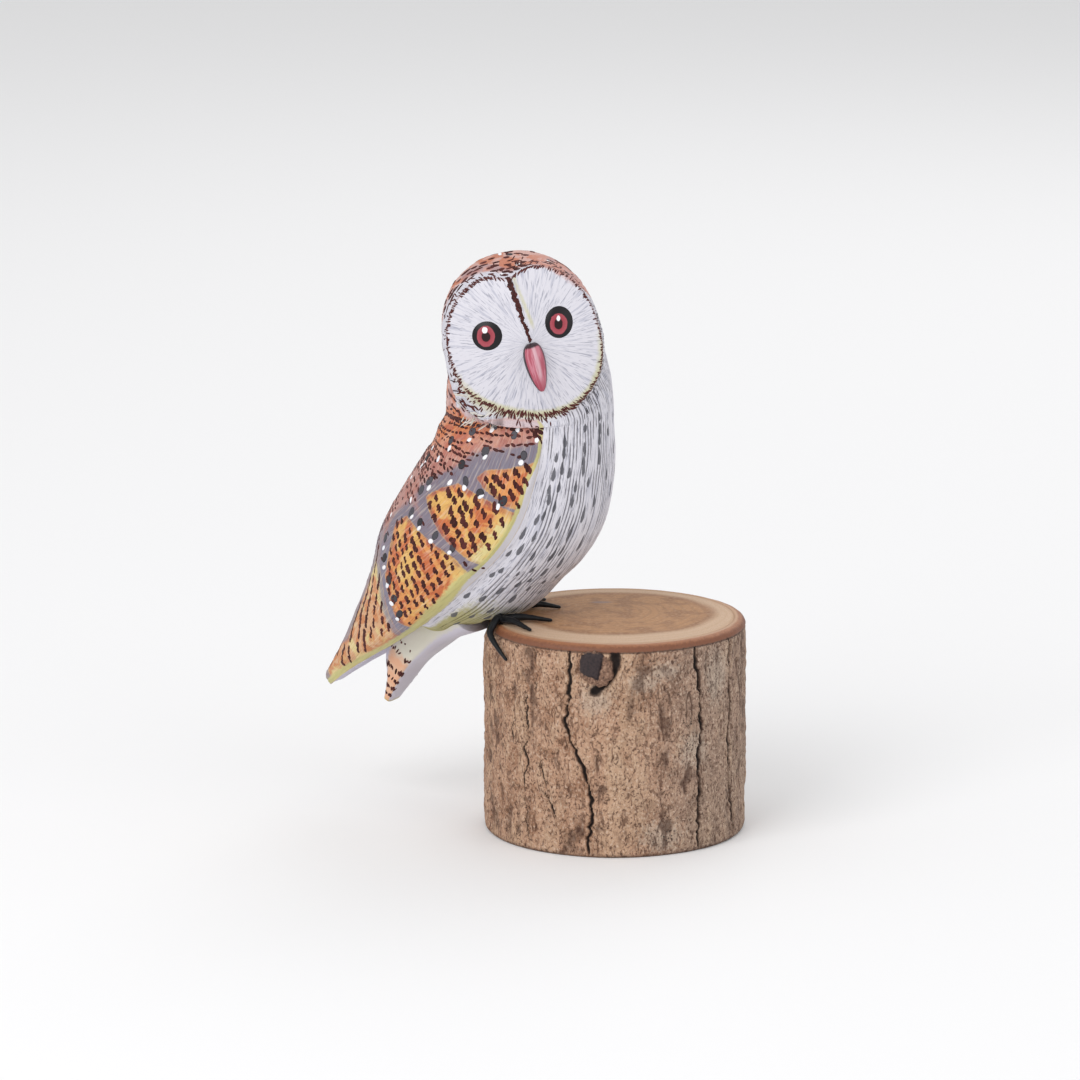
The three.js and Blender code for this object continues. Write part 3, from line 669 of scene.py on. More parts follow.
def on_grid(name, values, pole_values):
    """Writes one value per grid point on the skin, with its two poles."""
    values = np.asarray(values, float)
    shape = (-1,) if values.ndim == 2 else (-1, 3)
    first, last = (np.reshape(v, (1,) if values.ndim == 2 else (1, 3)) for v in pole_values)
    note(skin, name, np.concatenate([first, values.reshape(shape), last]))


face_middle = on_disc(0.0, 0.0, face_depth(0.0, 0.0))
tip_pole = tip_middle + tip_run * 1.35
skin_paint, skin_tree = new_material("acrylic_paint_on_carved_wood")
skin_poles = to_world(face_middle), to_world(tip_pole)
skin = shell("carved_body", rest_on_log(to_world(rings)), skin_poles, [skin_paint])

# %% [markdown]
# ## Where the colours lie
# The painter laid thin washes first: white on face and breast, orange and mauve-grey over the shoulders,
# and three warm panels on each wing between grey bands. The washes have crisp borders, so each border is
# kept on the mesh as a signed distance in millimetres, positive inside, and the material turns it into an
# edge. Places on a wing are named by two lengths: down the spine from the neck, and across from the
# wing's front edge round the back.

# %% Signed distances
def inside_by(x, y, outline):
    """Signed distance in mm from points to a closed outline, positive inside it."""
    nearest, within = np.full(x.shape, 1e9), np.zeros(x.shape, bool)
    for (ax, ay), (bx, by) in zip(outline, outline[1:] + outline[:1]):
        dx, dy = bx - ax, by - ay
        t = np.clip(((x - ax) * dx + (y - ay) * dy) / (dx * dx + dy * dy), 0, 1)
        nearest = np.minimum(nearest, np.hypot(x - ax - t * dx, y - ay - t * dy))
        crosses = (ay > y) != (by > y)
        within ^= crosses & (x < ax + (y - ay) * dx / np.where(dy == 0, 1e-9, dy))
    return np.where(within, nearest, -nearest)


PANELS = {  # (down the spine, across from the wing's front edge), mm
    "shoulder_panel": [(11.1, 12), (7.1, 0), (17, 0), (16.8, 5), (15.4, 10.9), (13.6, 13.7)],
    "middle_panel": [
        (16.8, 18), (20.6, 21.6), (26.6, 24.1), (28.7, 19.4), (30.6, 13.2), (31.4, 5), (30, 0), (20, 0),
        (17.6, 2.5), (17.3, 10.1)],
    "long_panel": [
        (34.3, 24.9), (38.8, 26.1), (45.8, 21.3), (54, 15.6), (56.2, 12.7), (60, 4.5), (58, 0), (36, 0),
        (33.5, 7.8), (34, 16.5)],
}
TIP_FEATHERS = [
    (34, 29.5), (44.4, 27.5), (47.7, 26.2), (54.3, 20), (57.3, 14), (61.4, 6.3), (63, 0), (96, -3), (96, 10),
    (81, 8), (69, 16.2), (57, 23), (46, 28), (38, 29.4)]
GREY_UPPER = [
    (3.8, 0), (7.1, -1), (11.2, 12), (13.6, 14.2), (17, 18.4), (20.6, 22.2), (19, 25), (12, 19), (8, 16),
    (5.7, 8.5)]

neck_line = 2.6 + 1.4 * np.cos(2 * wrap(angles - math.pi / 2))  # the wings' paint stops just under the face
wing_distance = np.minimum(across, 0.3 * (along + neck_line))
panel_distance = np.max([inside_by(along, across, outline) for outline in PANELS.values()], axis=0)
tip_distance = inside_by(along, across, TIP_FEATHERS)
grey_distance = inside_by(along, across, GREY_UPPER)

# %% Spots on the breast
SPOT_COLUMNS = {  # share of the way across the breast from the right wing: places down the spine, mm
    0.04: (20.6, 25, 33.2, 41.6),
    0.07: (17.8, 23.2, 30.3, 48.5),
    0.10: (6.4, 9.3, 12.3, 14.1, 16.8, 20.3, 40.6),
    0.15: (3.3, 5.4, 8.1, 11.6, 15.2, 23.5, 29, 37, 46.7, 51.8),
    0.20: (8.8, 17.6, 20.6, 26.5, 33.5, 43),
    0.25: (11.3, 13.9, 22.5, 30.5, 38.5, 45.8),
    0.29: (0.5, 4.7, 6.9, 8.1, 18.7, 21.5, 26.6, 34.5),
    0.35: (10.5, 16, 24, 31, 42),
    0.42: (-2, 1.4, 3.5, 6.4, 14, 20.5, 28, 36, 41.1, 52.6),
    0.53: (2.1, 9.5, 25.5),
    0.62: (-1, 5.5, 13, 29.5),
    0.71: (2.5, 10, 18, 34),
    0.80: (6, 22, 39),
    0.90: (12, 30),
}
# Down the breast, and the width across it there, mm
BREAST_WIDTHS = ([0, 9.6, 20, 32, 43.3, 54.3, 60], [38, 43.3, 47.5, 47.9, 37.8, 36.1, 35.7])
spots = np.random.default_rng(31)
spot_distance = np.full((ROWS, COLUMNS), -9.0)
width_across = np.interp(along[:, 0], *BREAST_WIDTHS)[:, None]
for share, downs in SPOT_COLUMNS.items():
    for down in downs:
        size, long = spots.uniform(0.50, 0.68), spots.uniform(1.6, 2.3)
        lean = spots.uniform(-0.12, 0.12)
        dx = (share_across - share - spots.uniform(-0.008, 0.008)) * width_across - lean * (along - down)
        dy = along - down
        narrow = size * mix(0.45, 1.0, ease(dy / (size * long), -1.0, 0.6))  # a teardrop, pointed at the top
        spot_distance = np.maximum(spot_distance, size - np.hypot(dx * size / narrow, dy / long))
print("breast spots:", sum(len(v) for v in SPOT_COLUMNS.values()))

# %% The crown and the nape
# The angle round the head is 0 above the brow and positive to the owl's left.
brow_angle = -wrap(neck_angles - HEAD_TURN - HEAD_ROLL - math.pi)[None, :]
crown_start = mix(2.6, 4.6, ease(-brow_angle, -0.2, 0.9)) - 3.0 * ease(brow_angle, 0.0, 0.8)
# The crown's rust starts behind the rim, farther back on the cheeks, and fades before the breast begins.
CHEEK = 24.0
crown_start = crown_start + CHEEK * ease(-brow_angle, 1.35, 2.1) + CHEEK * ease(brow_angle, 0.95, 1.8)
left_of_neck = ease(brow_angle, 0.4, 1.0) * ease(-across, -1.0, 5.0)
low_rows = ease(np.arange(ROWS), HEAD_ROWS - 14, HEAD_ROWS - 1)[:, None]
crown_start = crown_start + CHEEK * left_of_neck * low_rows
crown_distance = np.where(head_part, -rim_distance - crown_start, -9.0)

# %% Soft washes
shoulder_tone = ease(along - 0.55 * across, -16, 8)  # orange high on the back, grey low toward the panels
warm_start = np.interp(along, [8, 17, 21, 32, 40, 52], [-3.0, -1.5, 1.2, 1.5, 0.5, 0.2])
warm_full = np.interp(along, [8, 17, 21, 32, 40, 52], [2.5, 4.5, 10.5, 10.0, 6.5, 3.5])
warm_line = ease(across, warm_start, warm_full)  # yellow at a wing's front edge, orange farther back
# A yellow glow lies inside the rim, mostly low on the face, and beside the dark stripe from brow to beak.
rim_glow = bump(np.minimum(rim_distance, 3.0) - 0.3, 1.5) * (0.25 + 0.75 * ease(np.abs(brow_angle), 1.3, 2.2))
stripe_side = mix(2.1, 0.9, ease(face_up, 1.3, 17.9))
stripe_glow = bump(face_side - stripe_side - 1.35, 0.75) * ease(face_up, 0.5, 5) * (rim_distance > 0)
rim_glow = np.maximum(rim_glow, 0.8 * stripe_glow)
belly_end = (ease(places, 3.2, 5.0) * ease(places, BELLY_TIP + 0.05, BELLY_TIP - 0.1))[:, None]
belly_end = belly_end * ease(-across, 1.0, 4.5)  # the olive end of the belly
beyond_belly = ease(places, BELLY_TIP - 0.08, BELLY_TIP + 0.06)[:, None] * np.ones((1, COLUMNS))
print("belly ends at place", BELLY_TIP, "of", WING_TIP, "down the spine")

# %% The run of the feathers
# Brush streaks are drawn by noise on these coordinates: many repeats across the feathers and few along them.
BEAK_BASE = (1.4, 0.0)
RAYS, STREAKS, PER_MM = 22, 75, 0.16  # round the face, across the breast, along a streak
ray_x, ray_y = face_side - BEAK_BASE[0], face_up - BEAK_BASE[1]
ray = np.hypot(ray_x, ray_y) + 1e-6
on_face = np.arange(ROWS)[:, None] < DISC_ROWS
grain = np.stack([
    np.where(on_face, ray_x / ray * RAYS, share_across * STREAKS),
    np.where(on_face, ray_y / ray * RAYS, travel * PER_MM),
    np.where(on_face, ray * PER_MM, 0 * travel),
], -1)

# %% Write the places on the mesh
# A white lip runs along the wing's front edge, then a thin olive band, which widens toward the tail.
lip_width = 1.7 * ease(along, 5, 12) * ease(along, 46, 36)
wing_margin = (across - lip_width) / (mix(1.0, 3.0, ease(along, 30, 44)) - 1.6 * ease(along, 50, 62))

FIELDS = {  # attribute: its values on the grid, and at the poles in the face and at the wing tips
    "wing": (wing_distance, -9, 9),
    "edge": (wing_margin, -9, 9),
    "along": (along, -30, along.max()),
    "collar": (along + 6 * ease(across, 20, 28), -30, along.max()),  # the pale collar stops at the nape
    "rim": (rim_distance, 19, -90),
    "panel": (panel_distance, -9, -9),
    "tips": (tip_distance, -9, 3),
    "grey_upper": (grey_distance, -9, -9),
    "crown": (crown_distance, -9, -9),
    "brow": (np.broadcast_to(brow_angle, (ROWS, COLUMNS)), 0, 0),
    "cut": (cut, 0, 0),
    "spot": (spot_distance, -9, -9),
    "shoulder": (shoulder_tone, 0, 1),
    "warm": (warm_line, 0, 1),
    "glow": (rim_glow, 0, 0),
    "belly_end": (belly_end, 0, 0),
    "beyond": (beyond_belly, 0, 1),
}
for name, (values, in_face, at_tips) in FIELDS.items():
    on_grid(name, values, (in_face, at_tips))
on_grid("grain", grain, ((0, 0, 0), (0, 0, 0)))
print("places on the skin:", ", ".join(FIELDS))

# %% [markdown]
# ## Acrylic paint on carved wood
# Hand-laid artist's acrylic dries satin and slightly streaky, thin enough in the washes that one colour
# shows through the next. The material lays the washes in the painter's order, each through a mask with a
# slightly ragged edge. The same streaks drive colour and bump, at the half-millimetre pitch of a small
# round brush.

# %% Brush and wood textures
tree = skin_tree
read = {name: add(tree, "ShaderNodeAttribute", {"attribute_name": name}).outputs["Fac"] for name in FIELDS}
streaks = add(tree, "ShaderNodeAttribute", {"attribute_name": "grain"}).outputs["Vector"]
here = add(tree, "ShaderNodeTexCoord").outputs["Object"]

NOISES = {  # name: (what it follows, repeats per unit, detail, distortion)
    "ragged": (here, 1 / (0.9 * MM), 2.0, 0.3),  # the brush's edge
    "patch": (here, 1 / (4.5 * MM), 2.5, 1.2),  # pools of one wash, 4 to 5 mm across
    "patch_two": (here, 1 / (7.0 * MM), 2.0, 0.8),
    "streak": (streaks, 1.0, 2.0, 0.2),  # hairs of the brush, along the feathers
    "fine": (streaks, 2.3, 3.0, 0.3),
    "tooth": (here, 1 / (0.35 * MM), 3.0, 0.0),  # wood pores under the paint
}
noise = {}
for name, (follows, repeats, detail, distortion) in NOISES.items():
    noise[name] = add(tree, "ShaderNodeTexNoise", None, {
        "Vector": follows, "Scale": repeats, "Detail": detail, "Distortion": distortion}).outputs["Fac"]

# %% Masks of the skin's washes
off_rim = add(tree, "ShaderNodeMath", {"operation": "ABSOLUTE"}, {0: read["rim"]}).outputs[0]
rim_line = add(tree, "ShaderNodeMath", {"operation": "SUBTRACT"}, {0: 1.0, 1: off_rim}).outputs[0]
MASKS = {  # name: (value it reads, value at 0, value at 1, how ragged its edge is)
    "on_wing": (read["wing"], -0.15, 0.25, 0.25),
    "bevel": (read["edge"], 1.2, 0.8, 0.5),
    "lip": (read["edge"], 0.15, -0.15, 0.4),
    "on_panel": (read["panel"], -0.25, 0.25, 0.7),
    "panel_edge": (read["panel"], 1.5, 0.0, 1.0),
    "on_tips": (read["tips"], -0.3, 0.3, 0.8),
    "tip_margin": (read["tips"], 2.4, 0.9, 1.4),
    "on_grey": (read["grey_upper"], -0.8, 0.6, 1.5),
    "near_panel": (read["panel"], -5.0, -2.2, 2.0),
    "shoulder": (read["shoulder"], 0.15, 0.95, 0.5),
    "orange": (read["warm"], 0.25, 0.75, 0.9),
    "on_crown": (read["crown"], -1.2, 1.0, 1.6),
    "crown_right": (read["brow"], 0.1, 0.9, 0.5),
    "spot": (read["spot"], -0.07, 0.07, 0.25),
    "glow": (read["glow"], 0.3, 1.0, 0.5),
    "belly_end": (read["belly_end"], 0.1, 0.8, 0.5),
    "beyond": (read["beyond"], 0.3, 0.7, 0.0),
    "rim_line": (rim_line, 0.55, 0.85, 0.6),
    "body": (read["rim"], 0.3, -0.3, 0.0),
    "neck": (read["collar"], 0.6, -2.0, 2.0),
    "far_wing": (read["along"], 43.0, 50.0, 3.0),
    "cut": (read["cut"], 0.08, 0.65, 0.45),
    "patch_a": (noise["patch"], 0.46, 0.56, 0.0),
    "patch_b": (noise["patch_two"], 0.50, 0.60, 0.0),
    "streak": (noise["streak"], 0.50, 0.72, 0.0),
    "fine": (noise["fine"], 0.54, 0.66, 0.0),
}
masks = soft_masks(tree, MASKS, noise["ragged"])

# %% The washes, in the painter's order
WHITE_GROUND = "#D6D4DC"  # titanium white, a little blue
WASHES = [  # (masks that limit the wash, its strength, its colour)
    (("streak",), 0.6, "#A3A5B6"),
    (("fine",), 0.6, "#7F8193"),
    (("body", "fine"), 0.3, "#6F6B76"),
    (("cut",), 0.78, "#4A464E"),
    (("glow",), 0.6, "#C2BD78"),
    (("belly_end",), 0.85, "#A8A158"),
    (("belly_end", "cut"), 0.7, "#66623A"),
    (("spot",), 0.88, "#47474E"),
    (("spot", "fine"), 0.4, "#77777C"),
    (("rim_line",), 0.45, "#8A5A52"),
    (("on_crown",), 0.85, "#CE9E90"),
    (("on_crown", "patch_a"), 0.75, "#BE6C46"),
    (("on_crown", "patch_b"), 0.5, "#8F7C88"),
    (("on_crown", "crown_right"), 0.65, "#C79892"),
    (("on_crown", "fine"), 0.3, "#7E4A44"),
    (("beyond",), 1.0, "#CFCBD8"),
    (("on_wing",), 1.0, "#CC7A4A"),
    (("on_wing", "patch_a"), 0.85, "#BC654B"),
    (("on_wing", "patch_b"), 0.7, "#D5977A"),
    (("on_wing", "shoulder"), 0.55, "#9C8D98"),
    (("on_wing", "shoulder", "patch_a"), 0.6, "#AE6B58"),
    (("on_wing", "on_grey"), 0.9, "#7C7581"),
    (("on_wing", "near_panel"), 0.95, "#7B7583"),
    (("on_wing", "neck"), 0.85, "#CDC2CA"),
    (("on_wing", "far_wing"), 0.85, "#827D8C"),
    (("on_wing", "on_panel"), 1.0, "#D8C98C"),
    (("on_wing", "on_panel", "orange"), 0.92, "#D88C4E"),
    (("on_wing", "on_panel", "orange", "patch_a"), 0.75, "#B85635"),
    (("on_wing", "on_panel", "patch_b"), 0.65, "#DFBC6C"),
    (("on_wing", "on_panel", "panel_edge"), 0.35, "#8A5A50"),
    (("on_wing", "on_panel", "panel_edge", "patch_a"), 0.6, "#86565A"),
    (("on_wing", "on_tips"), 1.0, "#D0A27B"),
    (("on_wing", "on_tips", "patch_a"), 0.8, "#C47A47"),
    (("on_wing", "on_tips", "patch_b"), 0.75, "#D9CA8E"),
    (("on_wing", "on_tips", "tip_margin"), 0.85, "#827D8C"),
    (("on_wing", "fine"), 0.35, "#6E3426"),
    (("on_wing", "streak"), 0.25, "#F0DFCC"),
    (("on_wing", "bevel"), 0.85, "#C6C183"),
    (("on_wing", "bevel", "streak"), 0.4, "#9B9358"),
    (("on_wing", "lip"), 0.9, "#CFCCD6"),
]
rough = add(tree, "ShaderNodeMapRange", None, {"Value": noise["streak"], "To Min": 0.42, "To Max": 0.62})
relief = add(tree, "ShaderNodeMath", {"operation": "MULTIPLY_ADD"}, {
    0: noise["streak"], 1: 0.8, 2: noise["tooth"]}).outputs[0]
surface(tree, wash_over(tree, WHITE_GROUND, WASHES, masks), rough.outputs[0], 0.3, relief, 0.35, 0.12)
print("washes:", len(WASHES), "masks:", len(masks))

# %% [markdown]
# ## Brush dabs
# Most of the plumage is drawn with the tip of a small brush: rows of dark dashes on the wings, white
# beads, blotches, and short strokes round the face. Each dab is a low lens of paint a twentieth of a
# millimetre high. Geometry Nodes put one lens on each point of a cloud, stretch it along the stroke,
# roughen its edge and lay it on the skin. The cloud is only points with attributes, so every set of dabs
# comes from rows and spacings written in millimetres.

# %% Rows of dabs
skin_points = to_world(rings)
skin_normals = grid_normals(rings)
skin_normals = to_world(skin_normals) - to_world(np.zeros(3))  # turned with the owl but not moved
dab_sets = {}


def grid_sample(values, row, col):
    """Values of a grid between its points."""
    rows, columns = values.shape[:2]
    row = np.clip(row, 0, rows - 1.001)
    r0, c0 = np.floor(row).astype(int), np.floor(col).astype(int)
    fr, fc = (row - r0)[..., None], (col - c0)[..., None]
    v = values if values.ndim == 3 else values[..., None]
    top = mix(v[r0, c0 % columns], v[r0, (c0 + 1) % columns], fc)
    low = mix(v[r0 + 1, c0 % columns], v[r0 + 1, (c0 + 1) % columns], fc)
    return mix(top, low, fr)


def lay_dabs(kind, row, col, lean, long, wide, tone, points=skin_points, normals=skin_normals):
    """Adds dabs of one kind at places of a grid, leaning from the run of its rows toward higher columns."""
    row, col = np.asarray(row, float), np.asarray(col, float)
    place = grid_sample(points, row, col)
    normal = unit(grid_sample(normals, row, col))
    down = unit(grid_sample(points, row + 0.6, col) - grid_sample(points, row - 0.6, col))
    side = unit(np.cross(normal, down))
    side = side * np.sign((side * (grid_sample(points, row, col + 0.6) - place)).sum(-1))[:, None]
    lean = np.broadcast_to(lean, row.shape)[:, None]
    run = unit(down * np.cos(lean) + side * np.sin(lean))
    size = np.stack([np.broadcast_to(long, row.shape), np.broadcast_to(wide, row.shape)], -1)
    dab_sets.setdefault(kind, []).append((place, normal, run, size, np.broadcast_to(tone, row.shape)))


def wing_place(down, over, left_wing=False):
    """Rows and columns of the grid for places on a wing, given in mm down the spine and across the wing."""
    down, over = np.asarray(down, float), np.asarray(over, float)
    row = np.interp(down, along[:, 0], np.arange(ROWS))
    col = np.empty(row.shape)
    half = BACK_COLUMNS // 2
    for k, (r, o) in enumerate(zip(row, over)):
        near = int(round(min(max(r, HEAD_ROWS), ROWS - 1)))
        if left_wing:
            back = across[near, FRONT_COLUMNS : FRONT_COLUMNS + half]
            col[k] = FRONT_COLUMNS + np.interp(o, back, np.arange(half))
        else:
            back = across[near, FRONT_COLUMNS + half :][::-1]
            col[k] = COLUMNS - 1 - np.interp(o, back, np.arange(len(back)))
    return row, col


def width_at(down):
    """How far the wing reaches, from its front edge to the middle of the back, at places down the spine."""
    reach = across[:, FRONT_COLUMNS : FRONT_COLUMNS + BACK_COLUMNS].max(1)
    return np.interp(down, along[HEAD_ROWS:, 0], reach[HEAD_ROWS:])

# %% Dashes and beads of the wings
RUN = math.radians(63)  # a dash leans this far from the spine toward the wing's front edge


def rows_of_dashes(outline, gap_along, gap_between, lean, jitter, seed):
    """Places in staggered rows that run at a lean inside an outline of the wing chart."""
    rng = np.random.default_rng(seed)
    downs, overs = [], []
    centre = np.array(outline).mean(0)
    for k in range(-16, 17):
        for i in range(-16, 17):
            s = (i + 0.5 * (k % 2)) * gap_along + rng.normal(0, jitter)
            t = k * gap_between + rng.normal(0, jitter * 0.6)
            downs.append(centre[0] + s * math.cos(lean) + t * math.sin(lean))
            overs.append(centre[1] - s * math.sin(lean) + t * math.cos(lean))
    return np.array(downs), np.array(overs)


def wing_dabs(kind, downs, overs, lean, long, wide, tone):
    """Lays dabs on the right wing and, shuffled a little, on the left wing."""
    rng = np.random.default_rng(len(downs))
    lean, long, wide, tone = (np.broadcast_to(part, len(downs)) for part in (lean, long, wide, tone))
    for left_wing in (False, True):
        shift = rng.normal(0, 0.25, (2, len(downs))) * left_wing
        kept = (downs > 0.6) | (not left_wing)
        row, col = wing_place((downs + shift[0])[kept], (overs + shift[1])[kept], left_wing)
        lay_dabs(kind, row, col, (-lean if left_wing else lean)[kept], long[kept], wide[kept], tone[kept])


def combed(downs, overs, run, long, wide, seed):
    """Splits each dash into narrow strokes side by side, as a worn brush leaves it."""
    rng = np.random.default_rng(seed)
    made = []
    for share in (-0.36, -0.12, 0.12, 0.36):
        off = share * long + rng.normal(0, 0.08, len(downs))
        lift = rng.normal(0, 0.10, len(downs)) * wide
        made.append((
            downs + off * np.cos(run) + lift, overs - off * np.sin(run),
            wide * rng.uniform(0.75, 1.35, len(downs)), long * rng.uniform(0.34, 0.50, len(downs)),
            rng.random(len(downs))))
    return [np.concatenate(part) for part in zip(*made)]


PANEL_DASHES = {  # panel: (gap along a row, gap between rows, length, width, seed), mm
    "shoulder_panel": (2.6, 2.1, 1.9, 1.55, 11),
    "middle_panel": (2.9, 2.4, 2.1, 1.7, 12),
    "long_panel": (2.7, 2.2, 1.8, 1.3, 13),
}
for name, (gap_along, gap_between, long, wide, seed) in PANEL_DASHES.items():
    rng = np.random.default_rng(seed)
    downs, overs = rows_of_dashes(PANELS[name], gap_along, gap_between, RUN, 0.28, seed)
    depth = inside_by(downs, overs, PANELS[name])
    yellow_edge = mix(1.9, 4.4, ease(downs, 15, 32)) - 2.0 * ease(downs, 42, 50)  # left free of dashes, mm
    keep = (depth > 0.4) & (rng.random(len(downs)) > 0.06) & (overs > yellow_edge)
    downs, overs = downs[keep], overs[keep]
    scale = mix(0.6, 1.0, ease(overs, 2, 7)) * rng.uniform(0.7, 1.2, len(downs))
    if name == "shoulder_panel":
        scale = rng.uniform(0.7, 1.25, len(downs))
    downs, overs, long, wide, tone = combed(downs, overs, RUN, long * scale, wide * mix(scale, 1, 0.3), seed)
    wing_dabs("brown", downs, overs, rng.normal(0.15, 0.18, len(downs)), long, wide, tone)
    print(name, len(downs), "strokes")

# %% Rows of short dashes over the shoulders
rng = np.random.default_rng(21)
downs, overs = [], []
for down in np.arange(-0.8, 66, 1.8):
    over = 0.8 + rng.uniform(0, 1)
    while over < width_at(down) - 1.0:
        if rng.random() < 0.86:
            downs.append(down + 0.35 * math.sin(over / 3 + down) + rng.normal(0, 0.12))
            overs.append(over)
        over += rng.uniform(1.1, 1.6)
downs, overs = np.array(downs), np.array(overs)
in_panel = np.max([inside_by(downs, overs, outline) for outline in PANELS.values()], axis=0)
in_band = inside_by(downs, overs, GREY_UPPER)
keep = (in_panel < -1.1) & (inside_by(downs, overs, TIP_FEATHERS) < -1.0)
keep &= (in_band < 0.5) | (rng.random(len(downs)) < 0.35)
keep &= (in_panel < -3.4) | (rng.random(len(downs)) < 0.25)
downs, overs = downs[keep], overs[keep]
count = len(downs)
wing_dabs("brown", downs, overs, math.radians(84) + rng.normal(0, 0.3, count), rng.uniform(0.9, 1.9, count),
          rng.uniform(0.5, 0.95, count), rng.random(count))
print("shoulder dashes:", len(downs))

# %% Bars of the long tip feathers
rng = np.random.default_rng(22)
TIP_RUN = math.radians(42)
downs, overs = rows_of_dashes(TIP_FEATHERS, 3.4, 2.3, TIP_RUN, 0.35, 23)
depth = inside_by(downs, overs, TIP_FEATHERS)
keep = (depth > 1.0) & (overs > 1.8) & (rng.random(len(downs)) > 0.1)
downs, overs = downs[keep], overs[keep]
bar = rng.uniform(2.2, 3.6, len(downs))
downs, overs, long, wide, tone = combed(downs, overs, TIP_RUN, bar, rng.uniform(0.7, 1.1, len(downs)), 26)
wing_dabs("brown", downs, overs, TIP_RUN + rng.normal(0.3, 0.25, len(downs)), wide * 1.1, long * 0.95, tone)
print("tip bars:", len(bar))

# %% Ovals and white beads
GREY_OVALS = [  # (down the spine, across from the wing's front edge), mm
    (15.4, 16.2), (16.5, 11.8), (16.2, 6.1), (32.6, 24.3), (32.3, 20.4), (31.7, 15), (31.2, 9.9), (50.7, 19.8),
    (53.5, 14.1), (55.9, 9.6), (57.9, 5.8), (46.5, 24.6), (0, 12.4), (2.4, 7), (3.1, 18.2), (7.1, 23.9),
    (6.9, 13.2), (6.4, 4), (11.8, 18.5), (17.6, 33.4), (22.6, 26.2), (27, 26.6)]
WHITE_BEADS = [
    (17, 16), (17, 11.4), (17.6, 6.7), (33.2, 23.3), (33.5, 19.4), (33.8, 14.8), (32.9, 9.7), (49.1, 22.5),
    (52.9, 17.7), (55.4, 13.3), (57.9, 8.9), (59.5, 5), (1.7, 12.9), (3.1, 1.4), (5.4, 18.2), (9.3, 23.8),
    (8.3, 13), (7.8, 4.3), (19.8, 32.6), (17.8, 20.2), (24.4, 25), (31.2, 27.3), (29.7, 35), (0.9, 6.3),
    (14, 27), (13, 33), (24, 33.5), (40, 30.5)]
rng = np.random.default_rng(24)
downs, overs = np.array(GREY_OVALS).T
count = len(downs)
wing_dabs("grey", downs, overs, 0.15 + rng.normal(0, 0.25, count), rng.uniform(2.4, 3.3, count),
          rng.uniform(1.6, 2.3, count), rng.random(count))
downs, overs = np.array(WHITE_BEADS).T
count = len(downs)
wing_dabs("white", downs, overs, rng.normal(-0.2, 0.3, count), rng.uniform(1.5, 2.2, count),
          rng.uniform(1.0, 1.4, count), rng.random(count))
print("on each wing:", len(GREY_OVALS), "ovals and", len(WHITE_BEADS), "beads")

# %% A dark blotch at each wing's shoulder corner
BLOTCH = np.array([  # down, across, lean in radians, length, width; mm
    (0.6, 1.6, 0.3, 1.9, 1.3),
    (1.4, 0.6, 0.9, 1.7, 1.2),
    (2.0, 1.9, 0.2, 2.1, 1.3),
    (2.7, 0.9, 0.7, 1.6, 1.1),
    (0.2, 0.3, 1.2, 1.2, 0.7),
    (3.6, 0.2, 0.4, 1.3, 0.6),
    (1.2, 2.7, 0.9, 1.2, 0.6),
])
wing_dabs("brown", *BLOTCH.T, 0.2)

# %% Strokes of the face and the crown
def column_at(brow):
    """Columns of the grid for angles round the head from the brow, positive to the owl's left."""
    full = 2 * math.pi
    turned = (HEAD_TURN + HEAD_ROLL + math.pi - np.asarray(brow)) % full
    order = np.argsort(neck_angles % full)
    return np.interp(turned, (neck_angles % full)[order], order.astype(float), period=full)


def face_place(side, up):
    """Rows and columns of the grid for places on the facial disc."""
    round_disc = np.arctan2(side, up)
    return np.hypot(side, up) / rim_radius(round_disc) * DISC_ROWS - 1, column_at(round_disc)


def crown_place(behind_rim, brow):
    """Rows and columns of the grid for places on the skull, in mm behind the disc's rim."""
    col = column_at(brow)
    reach, rows = -rim_distance[DISC_ROWS - 1 : HEAD_ROWS], np.arange(DISC_ROWS - 1, HEAD_ROWS)
    row = [np.interp(b, reach[:, int(c) % COLUMNS], rows) for b, c in zip(behind_rim, col)]
    return np.array(row), col

# %% The fringe round the face
RIM_STROKES = 520
rng = np.random.default_rng(81)
brow = np.linspace(-math.pi, math.pi, RIM_STROKES, endpoint=False) + rng.normal(0, 0.007, RIM_STROKES)
brow = brow[np.abs(brow - 0.05) > 0.06]
count = len(brow)
slant = 0.45 * np.sin(brow) - 0.5 * np.sign(np.sin(brow)) * (np.abs(brow) < 1.9) + rng.normal(0, 0.22, count)
longer = mix(1.0, 1.6, np.maximum(ease(np.abs(brow), 2.0, 2.8), ease(np.abs(brow), 1.3, 0.4)))
row, col = DISC_ROWS - 1.0 + rng.normal(0, 0.4, count), column_at(brow)
lay_dabs("brown", row, col, slant, longer * rng.uniform(0.8, 1.35, count), rng.uniform(0.28, 0.42, count),
         rng.uniform(0.5, 1, count))
print("fringe strokes:", count)

# %% The stripe from the brow to the beak
STRIPE_DABS = 96
share = np.linspace(0, 1, STRIPE_DABS)
side = mix(0.9, 1.7, share) + rng.uniform(-1, 1, STRIPE_DABS) * mix(0.52, 0.12, share**2)
row, col = face_place(side, mix(18.3, 0.6, share))
lean = rng.normal(0.15, 0.4, STRIPE_DABS)
long = mix(1.6, 1.0, share) * rng.uniform(0.8, 1.2, STRIPE_DABS)
lay_dabs("brown", row, col, lean, long, mix(0.72, 0.45, share**2), rng.uniform(0, 0.7, STRIPE_DABS))

